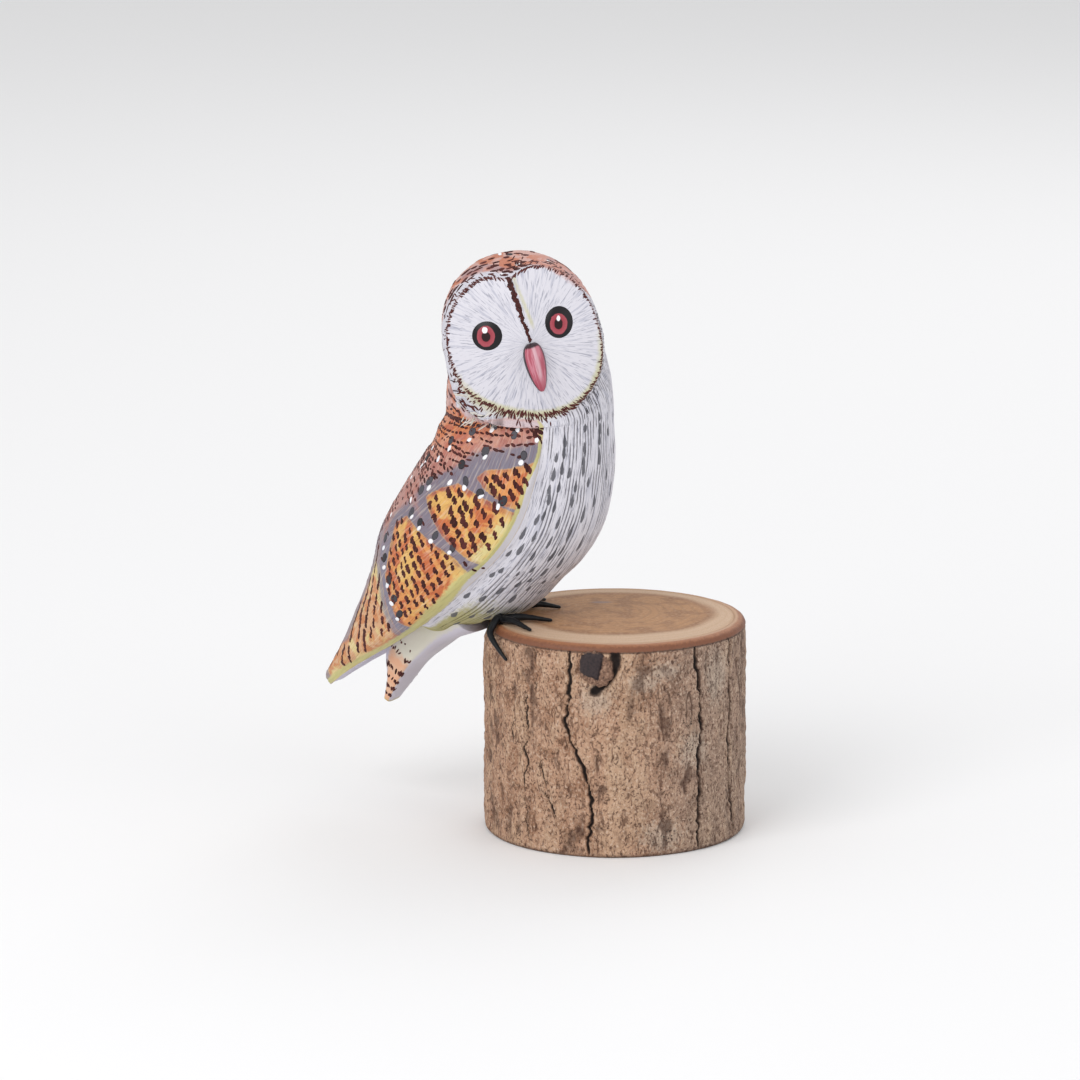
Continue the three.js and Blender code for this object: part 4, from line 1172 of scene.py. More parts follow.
# %% Dashes of the crown and the nape
CROWN_ROWS = (1.6, 2.7, 3.9, 5.2, 6.7, 8.3, 10.1, 12.1, 14.3, 16.7, 19.3, 22.1, 25, 28, 31, 34, 37)  # mm
ACROSS_ROWS = math.radians(90)
behind, brow = [], []
for k, back in enumerate(CROWN_ROWS):
    at = -1.1 + 0.06 * (k % 3) - 0.8 * ease(back, 7, 15)
    while at < 0.95 + 1.1 * ease(back, 12, 26):
        if rng.random() < mix(0.9, 0.55, bump(at - 0.8, 0.9)):
            behind.append(back + 1.3 * ease(at, 0.0, -0.4) - 0.4 * ease(at, 0.2, 0.9) + rng.normal(0, 0.15))
            brow.append(at)
        at += rng.uniform(0.10, 0.18)
row, col = crown_place(behind, np.array(brow))
count = len(row)
lay_dabs("brown", row, col, ACROSS_ROWS + rng.normal(0, 0.12, count), rng.uniform(1.5, 3.2, count),
         rng.uniform(0.5, 0.9, count) * mix(1.15, 1.0, ease(np.array(behind), 5, 13)), rng.random(count))

# %% Blotch, beads and nape strokes of the head
BROW_BLOTCH = np.array([  # mm behind the rim, radians from the brow
    (2.0, 0.10), (2.5, 0.16), (1.7, 0.19), (2.9, 0.22), (2.2, 0.25), (3.3, 0.14), (3.6, 0.24), (2.7, 0.05),
    (1.6, 0.29), (4.0, 0.19)])
row, col = crown_place(*BROW_BLOTCH.T)
count = len(row)
lay_dabs("brown", row, col, rng.uniform(0, 1.5, count), rng.uniform(1.2, 2.1, count),
         rng.uniform(0.7, 1.1, count), 0.4)
CROWN_BEADS = np.array([  # behind the rim, brow angle, length, width
    (3.6, 0.2, 1.5, 1.1), (1.8, -0.02, 0.9, 0.7), (4.4, 0.55, 1.0, 0.7), (7.5, -0.5, 1.2, 0.9),
    (6.0, -0.95, 1.0, 0.8), (10.0, 0.0, 1.2, 0.9)])
row, col = crown_place(CROWN_BEADS[:, 0], CROWN_BEADS[:, 1])
lay_dabs("white", row, col, 0.6, CROWN_BEADS[:, 2], CROWN_BEADS[:, 3], 0.5)
row, col = crown_place([4.2, 6.8, 9.0, 13.0], [-0.62, -1.05, 0.1, -0.3])
lay_dabs("grey", row, col, 1.3, 1.9, 0.9, 0.5)
NAPE_STROKES = 16
behind, brow = rng.uniform(1.8, 4.5, NAPE_STROKES), rng.uniform(-2.2, -1.6, NAPE_STROKES)
row, col = crown_place(behind, brow)
lay_dabs("brown", row, col, ACROSS_ROWS + rng.normal(0, 0.18, NAPE_STROKES),
         rng.uniform(1.2, 2.6, NAPE_STROKES), rng.uniform(0.34, 0.5, NAPE_STROKES),
         rng.uniform(0.6, 1, NAPE_STROKES))
print("crown and nape strokes:", sum(len(part[0]) for part in dab_sets["brown"]), "brown dabs in all")

# %% Leaf strokes where the shoulders meet the neck
rng = np.random.default_rng(83)
for kind, count, wide in (("cream", 26, 0.5), ("grey", 8, 0.4), ("brown", 8, 0.4)):
    row, col = wing_place(rng.uniform(-2.6, 1.8, count), rng.uniform(12.0, 25.0, count))
    lay_dabs(kind, row, col, rng.normal(-0.75, 0.2, count), rng.uniform(2.0, 3.6, count),
             wide * rng.uniform(0.7, 1.2, count), rng.random(count))

# %% Fine strokes on the side of the neck
# They run out from the rim of the face before they turn down with the feathers of the breast.
NECK_STROKES = 110
behind, brow = rng.uniform(0.8, 6.5, NECK_STROKES), rng.uniform(1.45, 2.75, NECK_STROKES)
row, col = crown_place(behind, brow)
lay_dabs("grey", row, col, rng.normal(0, 0.12, NECK_STROKES), rng.uniform(1.6, 3.0, NECK_STROKES),
         rng.uniform(0.16, 0.26, NECK_STROKES), 0.8)
print("neck strokes:", NECK_STROKES)

# %% [markdown]
# ## Rump and tail
# Below the belly's crisp end the carver left a smooth rump that narrows into a short, thick tail. It is a
# loft: a few listed rows, a smooth curve between them, and boxy rings square to the run. Its flat sides
# are peach with dark bars, its underside is lilac white, and an olive line follows its far edge.

# %% Loft the tail
TAIL_ROWS = np.array([  # middle (x, z), half width, depth to the back and to the front, mm
    (-12.5, 56.5, 12, 5, 9.2),
    (-18.5, 50.5, 9.8, 5, 5.6),
    (-23.2, 45, 8.2, 6.8, 3.7),
    (-27.8, 39.4, 6.7, 6.9, 2.3),
    (-31.4, 33.6, 5.2, 2.8, 1.6),
    (-34.2, 28.8, 3.4, 1.1, 1.1),
])
TAIL_COLUMNS, TAIL_BOXY, RINGS_PER_ROW = 120, 0.55, 15


def through(rows, places):
    """Values on a smooth curve through rows of numbers, which runs straight on at both ends."""
    return smooth_curve(rows, places, 2 * rows[0] - rows[1], 2 * rows[-1] - rows[-2])


tail_at = through(TAIL_ROWS, np.linspace(0, len(TAIL_ROWS) - 1, (len(TAIL_ROWS) - 1) * RINGS_PER_ROW + 1))
tail_run = unit(np.gradient(tail_at[:, :2], axis=0))
to_back = np.stack([tail_run[:, 1], 0 * tail_run[:, 0], -tail_run[:, 0]], -1)
round_tail = 2 * math.pi * np.arange(TAIL_COLUMNS) / TAIL_COLUMNS
boxy_across, boxy_deep = (
    np.sign(v) * np.abs(v) ** TAIL_BOXY for v in (np.cos(round_tail), np.sin(round_tail)))
depth = np.where(boxy_deep > 0, tail_at[:, 3:4], tail_at[:, 4:5])
tail_points = np.stack([tail_at[:, 0], 0 * tail_at[:, 0], tail_at[:, 1]], -1)[:, None]
tail_points = tail_points + np.array([0, 1, 0]) * (boxy_across * tail_at[:, 2:3])[..., None]
tail_points = tail_points + to_back[:, None] * (boxy_deep * depth)[..., None]

# %% Round off its end and close it
last_ring, last_run = tail_points[-1], np.array([tail_run[-1, 0], 0, tail_run[-1, 1]])
tip_centre = last_ring.mean(0)
ends = [
    tip_centre + (last_ring - tip_centre) * math.sqrt(1 - s**2) + last_run * 1.1 * s for s in (0.4, 0.7, 0.9)]
tail_points = np.concatenate([tail_points, np.array(ends)])
tail_down = np.linalg.norm(np.diff(tail_points.mean(1), axis=0), axis=1)
tail_down = np.concatenate([[0], np.cumsum(tail_down)])[:, None]
tail_paint, tree = new_material("acrylic_paint_on_tail")
tail_poles = tail_points[0].mean(0), tip_centre + last_run * 1.15
tail = shell("rump_and_tail", to_world(tail_points), [to_world(p) for p in tail_poles], [tail_paint])
for name, values, at_end in (
        ("across", boxy_across, 0), ("deep", boxy_deep, 0), ("down", tail_down, tail_down[-1, 0] + 0.4)):
    values = np.broadcast_to(values, tail_points.shape[:2])
    note(tail, name, np.concatenate([[0], values.ravel(), [at_end]]))

# %% Paint the tail
here = add(tree, "ShaderNodeTexCoord").outputs["Object"]
ragged, pools = (
    add(tree, "ShaderNodeTexNoise", None, {
        "Vector": here, "Scale": 1 / (size * MM), "Detail": 2.0}).outputs["Fac"] for size in (1.1, 4.0))
across_tail, deep_tail, down_tail = (
    add(tree, "ShaderNodeAttribute", {"attribute_name": name}).outputs["Fac"]
    for name in ("across", "deep", "down"))
flat_side = add(tree, "ShaderNodeMath", {"operation": "ABSOLUTE"}, {0: across_tail}).outputs[0]
masks = soft_masks(tree, {
    "side": (flat_side, 0.90, 0.985, 0.06),
    "low": (down_tail, 20.0, 24.0, 3.0),
    "pool": (pools, 0.46, 0.58, 0.0),
    "far_edge": (across_tail, 0.90, 0.96, 0.05),
    "under": (deep_tail, 0.2, -0.4, 0.2),
    "beyond_root": (down_tail, 19.0, 22.0, 2.0),
    "end": (down_tail, 35.4, 36.4, 0.8),
}, ragged)
tail_colour = wash_over(tree, "#CFCBD8", [
    (("side",), 0.6, "#DDD8B4"),
    (("side", "low"), 1.0, "#E0AA88"),
    (("side", "low", "pool"), 0.6, "#DDB699"),
    (("far_edge", "under", "beyond_root"), 0.9, "#A79E45"),
    (("end",), 0.7, "#B3A552"),
], masks)
surface(tree, tail_colour, 0.5, relief=ragged, strength=0.3, depth=0.1)
finish(tail, "painted_wood_tail", "tail")

# %% Dark bars down the tail's sides
TAIL_BARS = (  # row of the loft, strokes, their length in mm, the bar's middle column
    (2.3, 8, 0.9, 52), (2.75, 12, 1.5, 55), (3.4, 16, 2.0, 60), (3.85, 11, 1.2, 61), (4.25, 11, 1.3, 61),
    (4.65, 9, 1.0, 61))
tail_world = to_world(tail_points)
tail_normals = np.roll(tail_world, -1, 1) - np.roll(tail_world, 1, 1)
tail_normals = unit(np.cross(tail_normals, np.gradient(tail_world, axis=0)))
from_run = tail_world - tail_world.mean(1, keepdims=True)
tail_normals = tail_normals * np.sign((tail_normals * from_run).sum(-1, keepdims=True))
rng = np.random.default_rng(91)
for place, strokes, long, middle in TAIL_BARS:
    for far_side in (False, True):
        spread = np.linspace(-9, 9, strokes) * (1.3 if strokes > 9 else 0.9)
        col = middle + spread + rng.normal(0, 0.4, strokes)
        row = place * RINGS_PER_ROW + rng.normal(0, 0.5, strokes)
        if far_side:
            col = (TAIL_COLUMNS / 2 - col) % TAIL_COLUMNS
        lay_dabs("tail", row, col, rng.normal(0, 0.3, strokes), long * rng.uniform(0.6, 1.2, strokes),
                 rng.uniform(0.4, 0.65, strokes), rng.random(strokes), tail_world, tail_normals)
print("tail bars:", 2 * len(TAIL_BARS))

# %% [markdown]
# ## Eyes and beak
# The eyes are low domes of wood under gloss enamel: a black outline, a dusty red iris with painted shadow
# at its top, a dark pupil and one white touch that is a painted highlight. Each dome is a small grid of
# rings that follows the face, and carries the place on the eye in millimetres, so that the painted rings
# are exact ellipses at any resolution. The beak is a rounded wedge made in the same way.

# %% The eyes' measures
EYES = {  # half width and half height of the outline; iris, pupil and white painted highlight: middle and half sizes, mm
    "eye_right": (
        (3.75, 3.6), (-0.32, -0.08, 2.2, 2.6), (-0.30, -0.18, 1.1, 1.2), (-0.6, 1.4, 0.68, 0.78)),
    "eye_left": (
        (3.45, 3.95), (-0.07, -0.39, 2.15, 2.55), (-0.12, -0.36, 1.05, 1.35), (-0.14, 0.95, 0.46, 0.64)),
}
EYE_RISE, EYE_SINK, EYE_COLUMNS = 0.85, 0.6, 72
DOME = np.linspace(0.06, 1, 18)  # shares of the way from the middle of the dome to its edge
eye_round = 2 * math.pi * np.arange(EYE_COLUMNS) / EYE_COLUMNS
eye_shares = np.concatenate([DOME, [1.03, 0.9, 0.5]])[:, None]
eye_rises = np.concatenate([EYE_RISE * (1 - DOME**2.2) - 0.02, [-0.3, -EYE_SINK, -EYE_SINK]])[:, None]

# %% Enamel of an eye
def eye_enamel(name, iris, pupil, painted_highlight):
    """Gloss enamel in ellipses, one over the other, from places on the eye in millimetres."""
    enamel, tree = new_material(name)
    eye_at = add(tree, "ShaderNodeAttribute", {"attribute_name": "eye_at"}).outputs["Vector"]
    wobble, flecks = (
        add(tree, "ShaderNodeTexNoise", None, {"Vector": eye_at, "Scale": scale, "Detail": detail}).outputs
        for scale, detail in ((1.3, 1.0), (5.0, 2.0)))
    wobble = add(tree, "ShaderNodeVectorMath", {"operation": "SUBTRACT"}, {
        0: wobble["Color"], 1: (0.5, 0.5, 0.5)}).outputs[0]
    wobble = add(tree, "ShaderNodeVectorMath", {"operation": "SCALE"}, {0: wobble, "Scale": 0.35}).outputs[0]
    brushed = add(tree, "ShaderNodeVectorMath", {"operation": "ADD"}, {0: eye_at, 1: wobble}).outputs[0]
    iris_shade = add(tree, "ShaderNodeMix", {"data_type": "RGBA"}, {
        0: flecks["Fac"], 6: linear("#933945"), 7: linear("#B95D67")}).outputs[2]
    # painted shadow: a darker, smaller ellipse set high in the iris
    iris_painted_shadow = (iris[0], iris[1] + 0.25, iris[2] * 0.78, iris[3] * 0.78)
    colour = linear("#1B191C")
    # the last ellipse is a painted highlight in white
    for (middle_x, middle_y, half_x, half_y), paint, soft, strength in (
            (iris, iris_shade, 0.04, 1.0), (iris_painted_shadow, linear("#8E2A36"), 0.3, 0.45),
            (pupil, linear("#2A1517"), 0.08, 1.0), (painted_highlight, linear("#F6F4F6"), 0.12, 1.0)):
        moved = add(tree, "ShaderNodeVectorMath", {"operation": "SUBTRACT"}, {
            0: brushed, 1: (middle_x, middle_y, 0)}).outputs[0]
        scaled = add(tree, "ShaderNodeVectorMath", {"operation": "DIVIDE"}, {
            0: moved, 1: (half_x, half_y, 1)}).outputs[0]
        reach = add(tree, "ShaderNodeVectorMath", {"operation": "LENGTH"}, {0: scaled}).outputs["Value"]
        share = add(tree, "ShaderNodeMapRange", {"interpolation_type": "SMOOTHSTEP"}, {
            "Value": reach, "From Min": 1 + soft, "From Max": 1 - soft, "To Max": strength}).outputs[0]
        colour = add(tree, "ShaderNodeMix", {"data_type": "RGBA"}, {0: share, 6: colour, 7: paint}).outputs[2]
    surface(tree, colour, 0.35, 0.25)
    return enamel

# %% Two domed eyes
for name, ((half_x, half_y), iris, pupil, painted_highlight) in EYES.items():
    side0, up0 = EYE_PLACES[name]
    flat_x, flat_y = half_x * np.sin(eye_round) * eye_shares, half_y * np.cos(eye_round) * eye_shares
    side = side0 + flat_x * math.cos(HEAD_ROLL) + flat_y * math.sin(HEAD_ROLL)
    up = up0 - flat_x * math.sin(HEAD_ROLL) + flat_y * math.cos(HEAD_ROLL)
    dome = on_disc(side, up, face_depth(side, up) + eye_rises)
    poles = [to_world(on_disc(side0, up0, face_depth(side0, up0) + rise)) for rise in (EYE_RISE, -EYE_SINK)]
    enamel = eye_enamel(f"gloss_enamel_{name}", iris, pupil, painted_highlight)
    eye = shell(name + "_dome", to_world(dome), poles, [enamel])
    flat = np.stack([flat_x, flat_y, 0 * flat_x], -1).reshape(-1, 3)
    note(eye, "eye_at", np.concatenate([[(0, 0, 0)], flat, [(0, 0, 0)]]))
    finish(eye, "painted_eye", name)

# %% The beak
BEAK_SIDE, BEAK_TOP, BEAK_LENGTH, BEAK_WIDE, BEAK_PROUD, BEAK_DEEP = 1.6, 0.2, 12.4, 5.6, 3.3, 1.5
BEAK_LEAN = 0.7  # the tip stands this far to the owl's right of the root, mm
BEAK_RINGS, BEAK_COLUMNS = 56, 64
shares = 0.5 - 0.5 * np.cos(np.linspace(0.12, math.pi - 0.12, BEAK_RINGS))
beak_round = 2 * math.pi * np.arange(BEAK_COLUMNS) / BEAK_COLUMNS
half_wide = BEAK_WIDE / 2 * np.sin(math.pi * shares**0.72) ** 0.45 * (1 - 0.18 * shares)
proud = BEAK_PROUD * np.sqrt(np.sin(math.pi * shares**0.6))
up = BEAK_TOP - BEAK_LENGTH * shares
side = BEAK_SIDE - BEAK_LEAN * shares[:, None] + np.cos(beak_round) * half_wide[:, None]
out = np.sin(beak_round) * np.where(np.sin(beak_round) > 0, proud[:, None], BEAK_DEEP)
out = face_depth(BEAK_SIDE + 0 * up, up)[:, None] + out
beak_points = on_disc(side, up[:, None] + 0 * side, out)
beak_poles = [
    to_world(on_disc(BEAK_SIDE, end, face_depth(BEAK_SIDE, end)))
    for end in (BEAK_TOP, BEAK_TOP - BEAK_LENGTH)]
beak_paint, tree = new_material("satin_acrylic_on_beak")
beak = shell("carved_beak", to_world(beak_points), beak_poles, [beak_paint])
beak_at = np.stack(np.broadcast_arrays(np.cos(beak_round), shares[:, None], np.sin(beak_round)), -1)
note(beak, "beak_at", np.concatenate([[(0, 0, 0)], beak_at.reshape(-1, 3), [(0, 1, 0)]]))

# %% Paint the beak
# The masks read the place on the beak: X runs from its right side to its left, Y from root to tip, Z outward.
beak_place = add(tree, "ShaderNodeAttribute", {"attribute_name": "beak_at"}).outputs["Vector"]
parts = add(tree, "ShaderNodeSeparateXYZ", None, {0: beak_place}).outputs
stretched = add(tree, "ShaderNodeVectorMath", {"operation": "MULTIPLY"}, {
    0: beak_place, 1: (7.0, 3.0, 3.0)}).outputs[0]
hairs = add(tree, "ShaderNodeTexNoise", None, {
    "Vector": stretched, "Scale": 1.0, "Detail": 3.0}).outputs["Fac"]
masks = soft_masks(tree, {
    # the first three masks bound a painted highlight on the beak
    "streak": (parts["X"], 0.55, 0.25, 0.5),
    "highlight_left_edge": (parts["X"], -0.15, 0.2, 0.5),
    "upper": (parts["Y"], 0.85, 0.6, 0.3),
    "dark_left": (parts["X"], -0.35, -0.75, 0.5),
    "root": (parts["Y"], 0.10, 0.06, 0.05),
    "edge": (parts["Z"], 0.46, 0.34, 0.12),
    "left_half": (parts["X"], 0.45, 0.0, 0.3),
    "tip": (parts["Y"], 0.72, 0.95, 0.3),
    "left_line": (parts["X"], -0.74, -0.84, 0.12),
    "right_line": (parts["X"], 0.86, 0.93, 0.08),
    "hairs": (hairs, 0.42, 0.62, 0.0),
}, hairs)
beak_colour = wash_over(tree, "#AF5666", [
    (("hairs",), 0.7, "#D08C9A"),
    (("dark_left",), 0.5, "#A83A50"),
    (("tip",), 0.5, "#A5394D"),
    # painted highlight: a pale streak down the top of the beak near its root
    (("streak", "highlight_left_edge", "upper"), 0.7, "#DDBBC4"),
    (("edge", "left_half"), 0.95, "#211D22"),
    (("root",), 0.95, "#1F1C20"),
    (("left_line",), 0.9, "#211D22"),
    (("right_line",), 0.85, "#3A2028"),
], masks)
surface(tree, beak_colour, 0.42, 0.3, hairs, 0.25, 0.1)
finish(beak, "painted_beak", "beak")

# %% [markdown]
# ## Feet
# Each foot is a blob of filler on a twist of wire, dipped in satin black. Toes are tapered tubes that
# arch from a low hub; one of them bends over the log's rim and down the bark. The tubes and the hub are
# welded by a voxel remesh and then smoothed, which gives the soft webs between toes that the dip leaves.

# %% Toes and hubs
FEET = {  # hub, then each toe's end, mm in the log's frame; a third number is how far it hangs over the rim
    "foot_right": ((-28.6, -8.6), [(-21.0, -18.0), (-15.8, -7.2), (-26.8, -19.6, 6.8)]),
    "foot_left": ((-23.8, 6.2), [(-13.6, 7.2), (-17.4, 16.0)]),
}
TOE_ROOT, TOE_TIP, HUB, LOG_RADIUS = 1.05, 0.42, 1.6, 32.7
TOE_ARCH, TOE_RINGS, TOE_SIDES = 0.35, 36, 16
OVER_RIM = (-30.2, -10.6)  # where the long toe goes over the rim
BENT_TOE = (  # share of the way along, how far beyond the bark, height above the log
    (0, -1.3, TOE_ROOT + 0.2), (0.22, 1.1, -1.4), (0.6, 1.1, -4.1))
BALL = ((0.2, 1.5), (0.9, HUB), (1.7, 1.3), (2.2, 0.7))  # height above the log and radius of the hub's rings
FOOT_FLOOR = LOG_TOP + 0.1


def tube(path, radius):
    """Points and faces of a closed tapered tube along a path."""
    run = unit(np.gradient(path, axis=0))
    side = unit(np.cross(run, np.array([0.1, 0.2, 1.0])))
    lift = np.cross(side, run)
    a = 2 * math.pi * np.arange(TOE_SIDES)[:, None] / TOE_SIDES
    rings = path[:, None] + radius[:, None, None] * (side[:, None] * np.cos(a) + lift[:, None] * np.sin(a))
    first, last = path[:1] - run[:1] * radius[0] * 0.6, path[-1:] + run[-1:] * radius[-1] * 0.8
    points = np.concatenate([first, rings.reshape(-1, 3), last])
    return points, outward(points, closed_faces(len(path), TOE_SIDES))


def toe_knots(hub, toe):
    """Places that a toe passes through: flat along the log, or over its rim and down the bark."""
    start = (*hub, FOOT_FLOOR + TOE_ROOT)
    if len(toe) == 2:
        half = mix(np.array(hub), np.array(toe), 0.45)
        return [start, (*half, FOOT_FLOOR + TOE_ROOT + TOE_ARCH), (*toe, FOOT_FLOOR + TOE_TIP)]
    knots = [start]
    first, last = math.atan2(OVER_RIM[1], OVER_RIM[0]), math.atan2(toe[1], toe[0])
    for part, beyond, rise in (*BENT_TOE, (1, 0.8, -toe[2])):
        angle, reach = mix(first, last, part), LOG_RADIUS + beyond
        knots.append((reach * math.cos(angle), reach * math.sin(angle), FOOT_FLOOR + rise))
    return knots

# %% Black dip
black_dip, tree = new_material("satin_black_enamel_on_wire")  # a dipped coat: satin, slightly uneven
here = add(tree, "ShaderNodeTexCoord").outputs["Object"]
uneven = add(tree, "ShaderNodeTexNoise", None, {
    "Vector": here, "Scale": 1 / (0.9 * MM), "Detail": 3.0}).outputs["Fac"]
shade = add(tree, "ShaderNodeMix", {"data_type": "RGBA"}, {
    0: uneven, 6: linear("#08090B"), 7: linear("#14161A")})
rough = add(tree, "ShaderNodeMapRange", None, {"Value": uneven, "To Min": 0.3, "To Max": 0.55})
surface(tree, shade.outputs[2], rough.outputs[0], 0.25, uneven, 0.4, 0.2)

# %% Weld the feet
for name, (hub, toes) in FEET.items():
    ball_path = np.array([(*hub, FOOT_FLOOR + rise) for rise, radius in BALL])
    tubes = [tube(ball_path, np.array([radius for rise, radius in BALL]))]
    for toe in toes:
        knots = np.array(toe_knots(hub, toe), float)
        path = through(knots, np.linspace(0, len(knots) - 1, TOE_RINGS))
        share = np.linspace(0, 1, TOE_RINGS)
        knuckles = 1 + 0.10 * bump(share - 0.4, 0.12) + 0.03 * np.sin(share * 40)
        tubes.append(tube(path, mix(TOE_ROOT, TOE_TIP, share**1.6) * knuckles))
    all_faces, start = [], 0
    for points, faces in tubes:
        all_faces += [[int(corner) + start for corner in face] for face in faces]
        start += len(points)
    mesh = bpy.data.meshes.new(name)
    mesh.from_pydata((np.concatenate([points for points, faces in tubes]) * MM).tolist(), [], all_faces)
    foot = bpy.data.objects.new("dipped_" + name, mesh)
    scene.collection.objects.link(foot)
    weld = foot.modifiers.new("weld", "REMESH")
    weld.mode, weld.voxel_size = "VOXEL", 0.2 * MM
    foot.modifiers.new("soften", "SMOOTH").iterations = 5
    welded = bpy.data.meshes.new_from_object(foot.evaluated_get(bpy.context.evaluated_depsgraph_get()))
    foot.modifiers.clear()
    foot.data = welded
    welded.polygons.foreach_set("use_smooth", [True] * len(welded.polygons))
    welded.materials.clear()
    welded.materials.append(black_dip)
    finish(foot, "black_feet", name)
    print(foot.name, len(welded.polygons), "faces")

# %% [markdown]
# ## A Geometry Nodes tree that lays paint
# The tree takes the cloud of points and the skin. Its named inputs are the paint's height, how ragged the
# edge is, and the material. It puts one lens on each point, roughens it a little, and then moves every
# corner of it to the nearest place on the skin, so that paint follows the carving.

# %% Build the dab tree
dab_tree = bpy.data.node_groups.new("lay_paint_dabs", "GeometryNodeTree")
SOCKETS = [
    ("Geometry", "INPUT", "NodeSocketGeometry", None), ("Skin", "INPUT", "NodeSocketObject", None),
    ("Height", "INPUT", "NodeSocketFloat", 0.05 * MM), ("Ragged", "INPUT", "NodeSocketFloat", 0.24 * MM),
    ("Bristle", "INPUT", "NodeSocketFloat", 0.4 * MM), ("Paint", "INPUT", "NodeSocketMaterial", None),
    ("Geometry", "OUTPUT", "NodeSocketGeometry", None),
]
inputs_by_name = {}
for name, direction, kind, default in SOCKETS:
    socket = dab_tree.interface.new_socket(name, in_out=direction, socket_type=kind)
    if default is not None:
        socket.default_value = default
    if direction == "INPUT":
        inputs_by_name[name] = socket.identifier
given = add(dab_tree, "NodeGroupInput").outputs
lens = add(dab_tree, "GeometryNodeMeshUVSphere", None, {"Segments": 10, "Rings": 4, "Radius": 1.0})
lens_at = add(dab_tree, "GeometryNodeInputPosition").outputs[0]
vector_on_points = {"data_type": "FLOAT_VECTOR", "domain": "POINT"}
lens_kept = add(dab_tree, "GeometryNodeStoreNamedAttribute", vector_on_points, {
    "Geometry": lens.outputs["Mesh"], "Name": "lens_at", "Value": lens_at})
read_vector = {}
for name in ("dab_normal", "dab_run", "dab_size", "lens_at"):
    node = add(dab_tree, "GeometryNodeInputNamedAttribute", {"data_type": "FLOAT_VECTOR"}, {"Name": name})
    read_vector[name] = node.outputs["Attribute"]
turn = add(dab_tree, "FunctionNodeAxesToRotation", {"primary_axis": "Z", "secondary_axis": "X"}, {
    "Primary Axis": read_vector["dab_normal"], "Secondary Axis": read_vector["dab_run"]})
points = add(dab_tree, "GeometryNodeMeshToPoints", None, {"Mesh": given["Geometry"]})
placed = add(dab_tree, "GeometryNodeInstanceOnPoints", None, {
    "Points": points.outputs["Points"], "Instance": lens_kept.outputs["Geometry"],
    "Rotation": turn.outputs["Rotation"], "Scale": read_vector["dab_size"]})
real = add(dab_tree, "GeometryNodeRealizeInstances", None, {"Geometry": placed.outputs["Instances"]})

# %% Roughen each lens, less where it is narrow
corner = add(dab_tree, "GeometryNodeInputPosition").outputs[0]
per_bristle = add(dab_tree, "ShaderNodeMath", {"operation": "DIVIDE"}, {
    0: 1.0, 1: given["Bristle"]}).outputs[0]
bristles = add(dab_tree, "ShaderNodeTexNoise", {"noise_dimensions": "3D"}, {
    "Vector": corner, "Scale": per_bristle, "Detail": 1.0})
spread = add(dab_tree, "ShaderNodeVectorMath", {"operation": "SUBTRACT"}, {
    0: bristles.outputs["Color"], 1: (0.5, 0.5, 0.5)})
narrow = add(dab_tree, "ShaderNodeSeparateXYZ", None, {0: read_vector["dab_size"]}).outputs["Y"]
narrow = add(dab_tree, "ShaderNodeMath", {"operation": "MULTIPLY"}, {0: narrow, 1: 0.7}).outputs[0]
amount = add(dab_tree, "ShaderNodeMath", {"operation": "MINIMUM"}, {0: narrow, 1: given["Ragged"]}).outputs[0]
spread = add(dab_tree, "ShaderNodeVectorMath", {"operation": "SCALE"}, {
    0: spread.outputs[0], "Scale": amount})
roughened = add(dab_tree, "GeometryNodeSetPosition", None, {
    "Geometry": real.outputs["Geometry"], "Offset": spread.outputs[0]})

# %% Lay each lens on the skin
CLEAR = 0.012 * MM  # the middle of a lens lies this far off the skin
skin_mesh = add(dab_tree, "GeometryNodeObjectInfo", {"transform_space": "ORIGINAL"}, {
    "Object": given["Skin"]})
near = {}
for name, kind in (("place", "GeometryNodeInputPosition"), ("normal", "GeometryNodeInputNormal")):
    near[name] = add(dab_tree, "GeometryNodeSampleNearestSurface", {"data_type": "FLOAT_VECTOR"}, {
        "Mesh": skin_mesh.outputs["Geometry"], "Value": add(dab_tree, kind).outputs[0],
        "Sample Position": add(dab_tree, "GeometryNodeInputPosition").outputs[0]}).outputs["Value"]
up = add(dab_tree, "ShaderNodeSeparateXYZ", None, {0: read_vector["lens_at"]}).outputs["Z"]
lift = add(dab_tree, "ShaderNodeMath", {"operation": "MULTIPLY_ADD"}, {
    0: up, 1: given["Height"], 2: CLEAR}).outputs[0]
raised = add(dab_tree, "ShaderNodeVectorMath", {"operation": "SCALE"}, {0: near["normal"], "Scale": lift})
target = add(dab_tree, "ShaderNodeVectorMath", {"operation": "ADD"}, {0: near["place"], 1: raised.outputs[0]})
laid = add(dab_tree, "GeometryNodeSetPosition", None, {
    "Geometry": roughened.outputs["Geometry"], "Position": target.outputs[0]})
smooth = add(dab_tree, "GeometryNodeSetShadeSmooth", None, {"Geometry": laid.outputs["Geometry"]})
painted = add(dab_tree, "GeometryNodeSetMaterial", None, {
    "Geometry": smooth.outputs["Geometry"], "Material": given["Paint"]})
add(dab_tree, "NodeGroupOutput", None, {"Geometry": painted.outputs["Geometry"]})
print("dab tree:", len(dab_tree.nodes), "nodes")

# %% Paints for the dabs
DAB_PAINTS = {  # piece: (material, its two shades, roughness): full-strength acrylic from the tip of a brush
    "brown": ("burnt_umber_acrylic_dab", "#33120F", "#5A2A27", 0.5),
    "grey": ("payne_grey_acrylic_dab", "#2F2D31", "#55535A", 0.55),
    "cream": ("unbleached_white_acrylic_dab", "#C9C2B4", "#DAD5D0", 0.5),
    "white": ("titanium_white_acrylic_dab", "#F6F4F6", "#E8EAF0", 0.45),
    "tail": ("burnt_umber_acrylic_on_tail", "#33120F", "#5A2A27", 0.5),
}


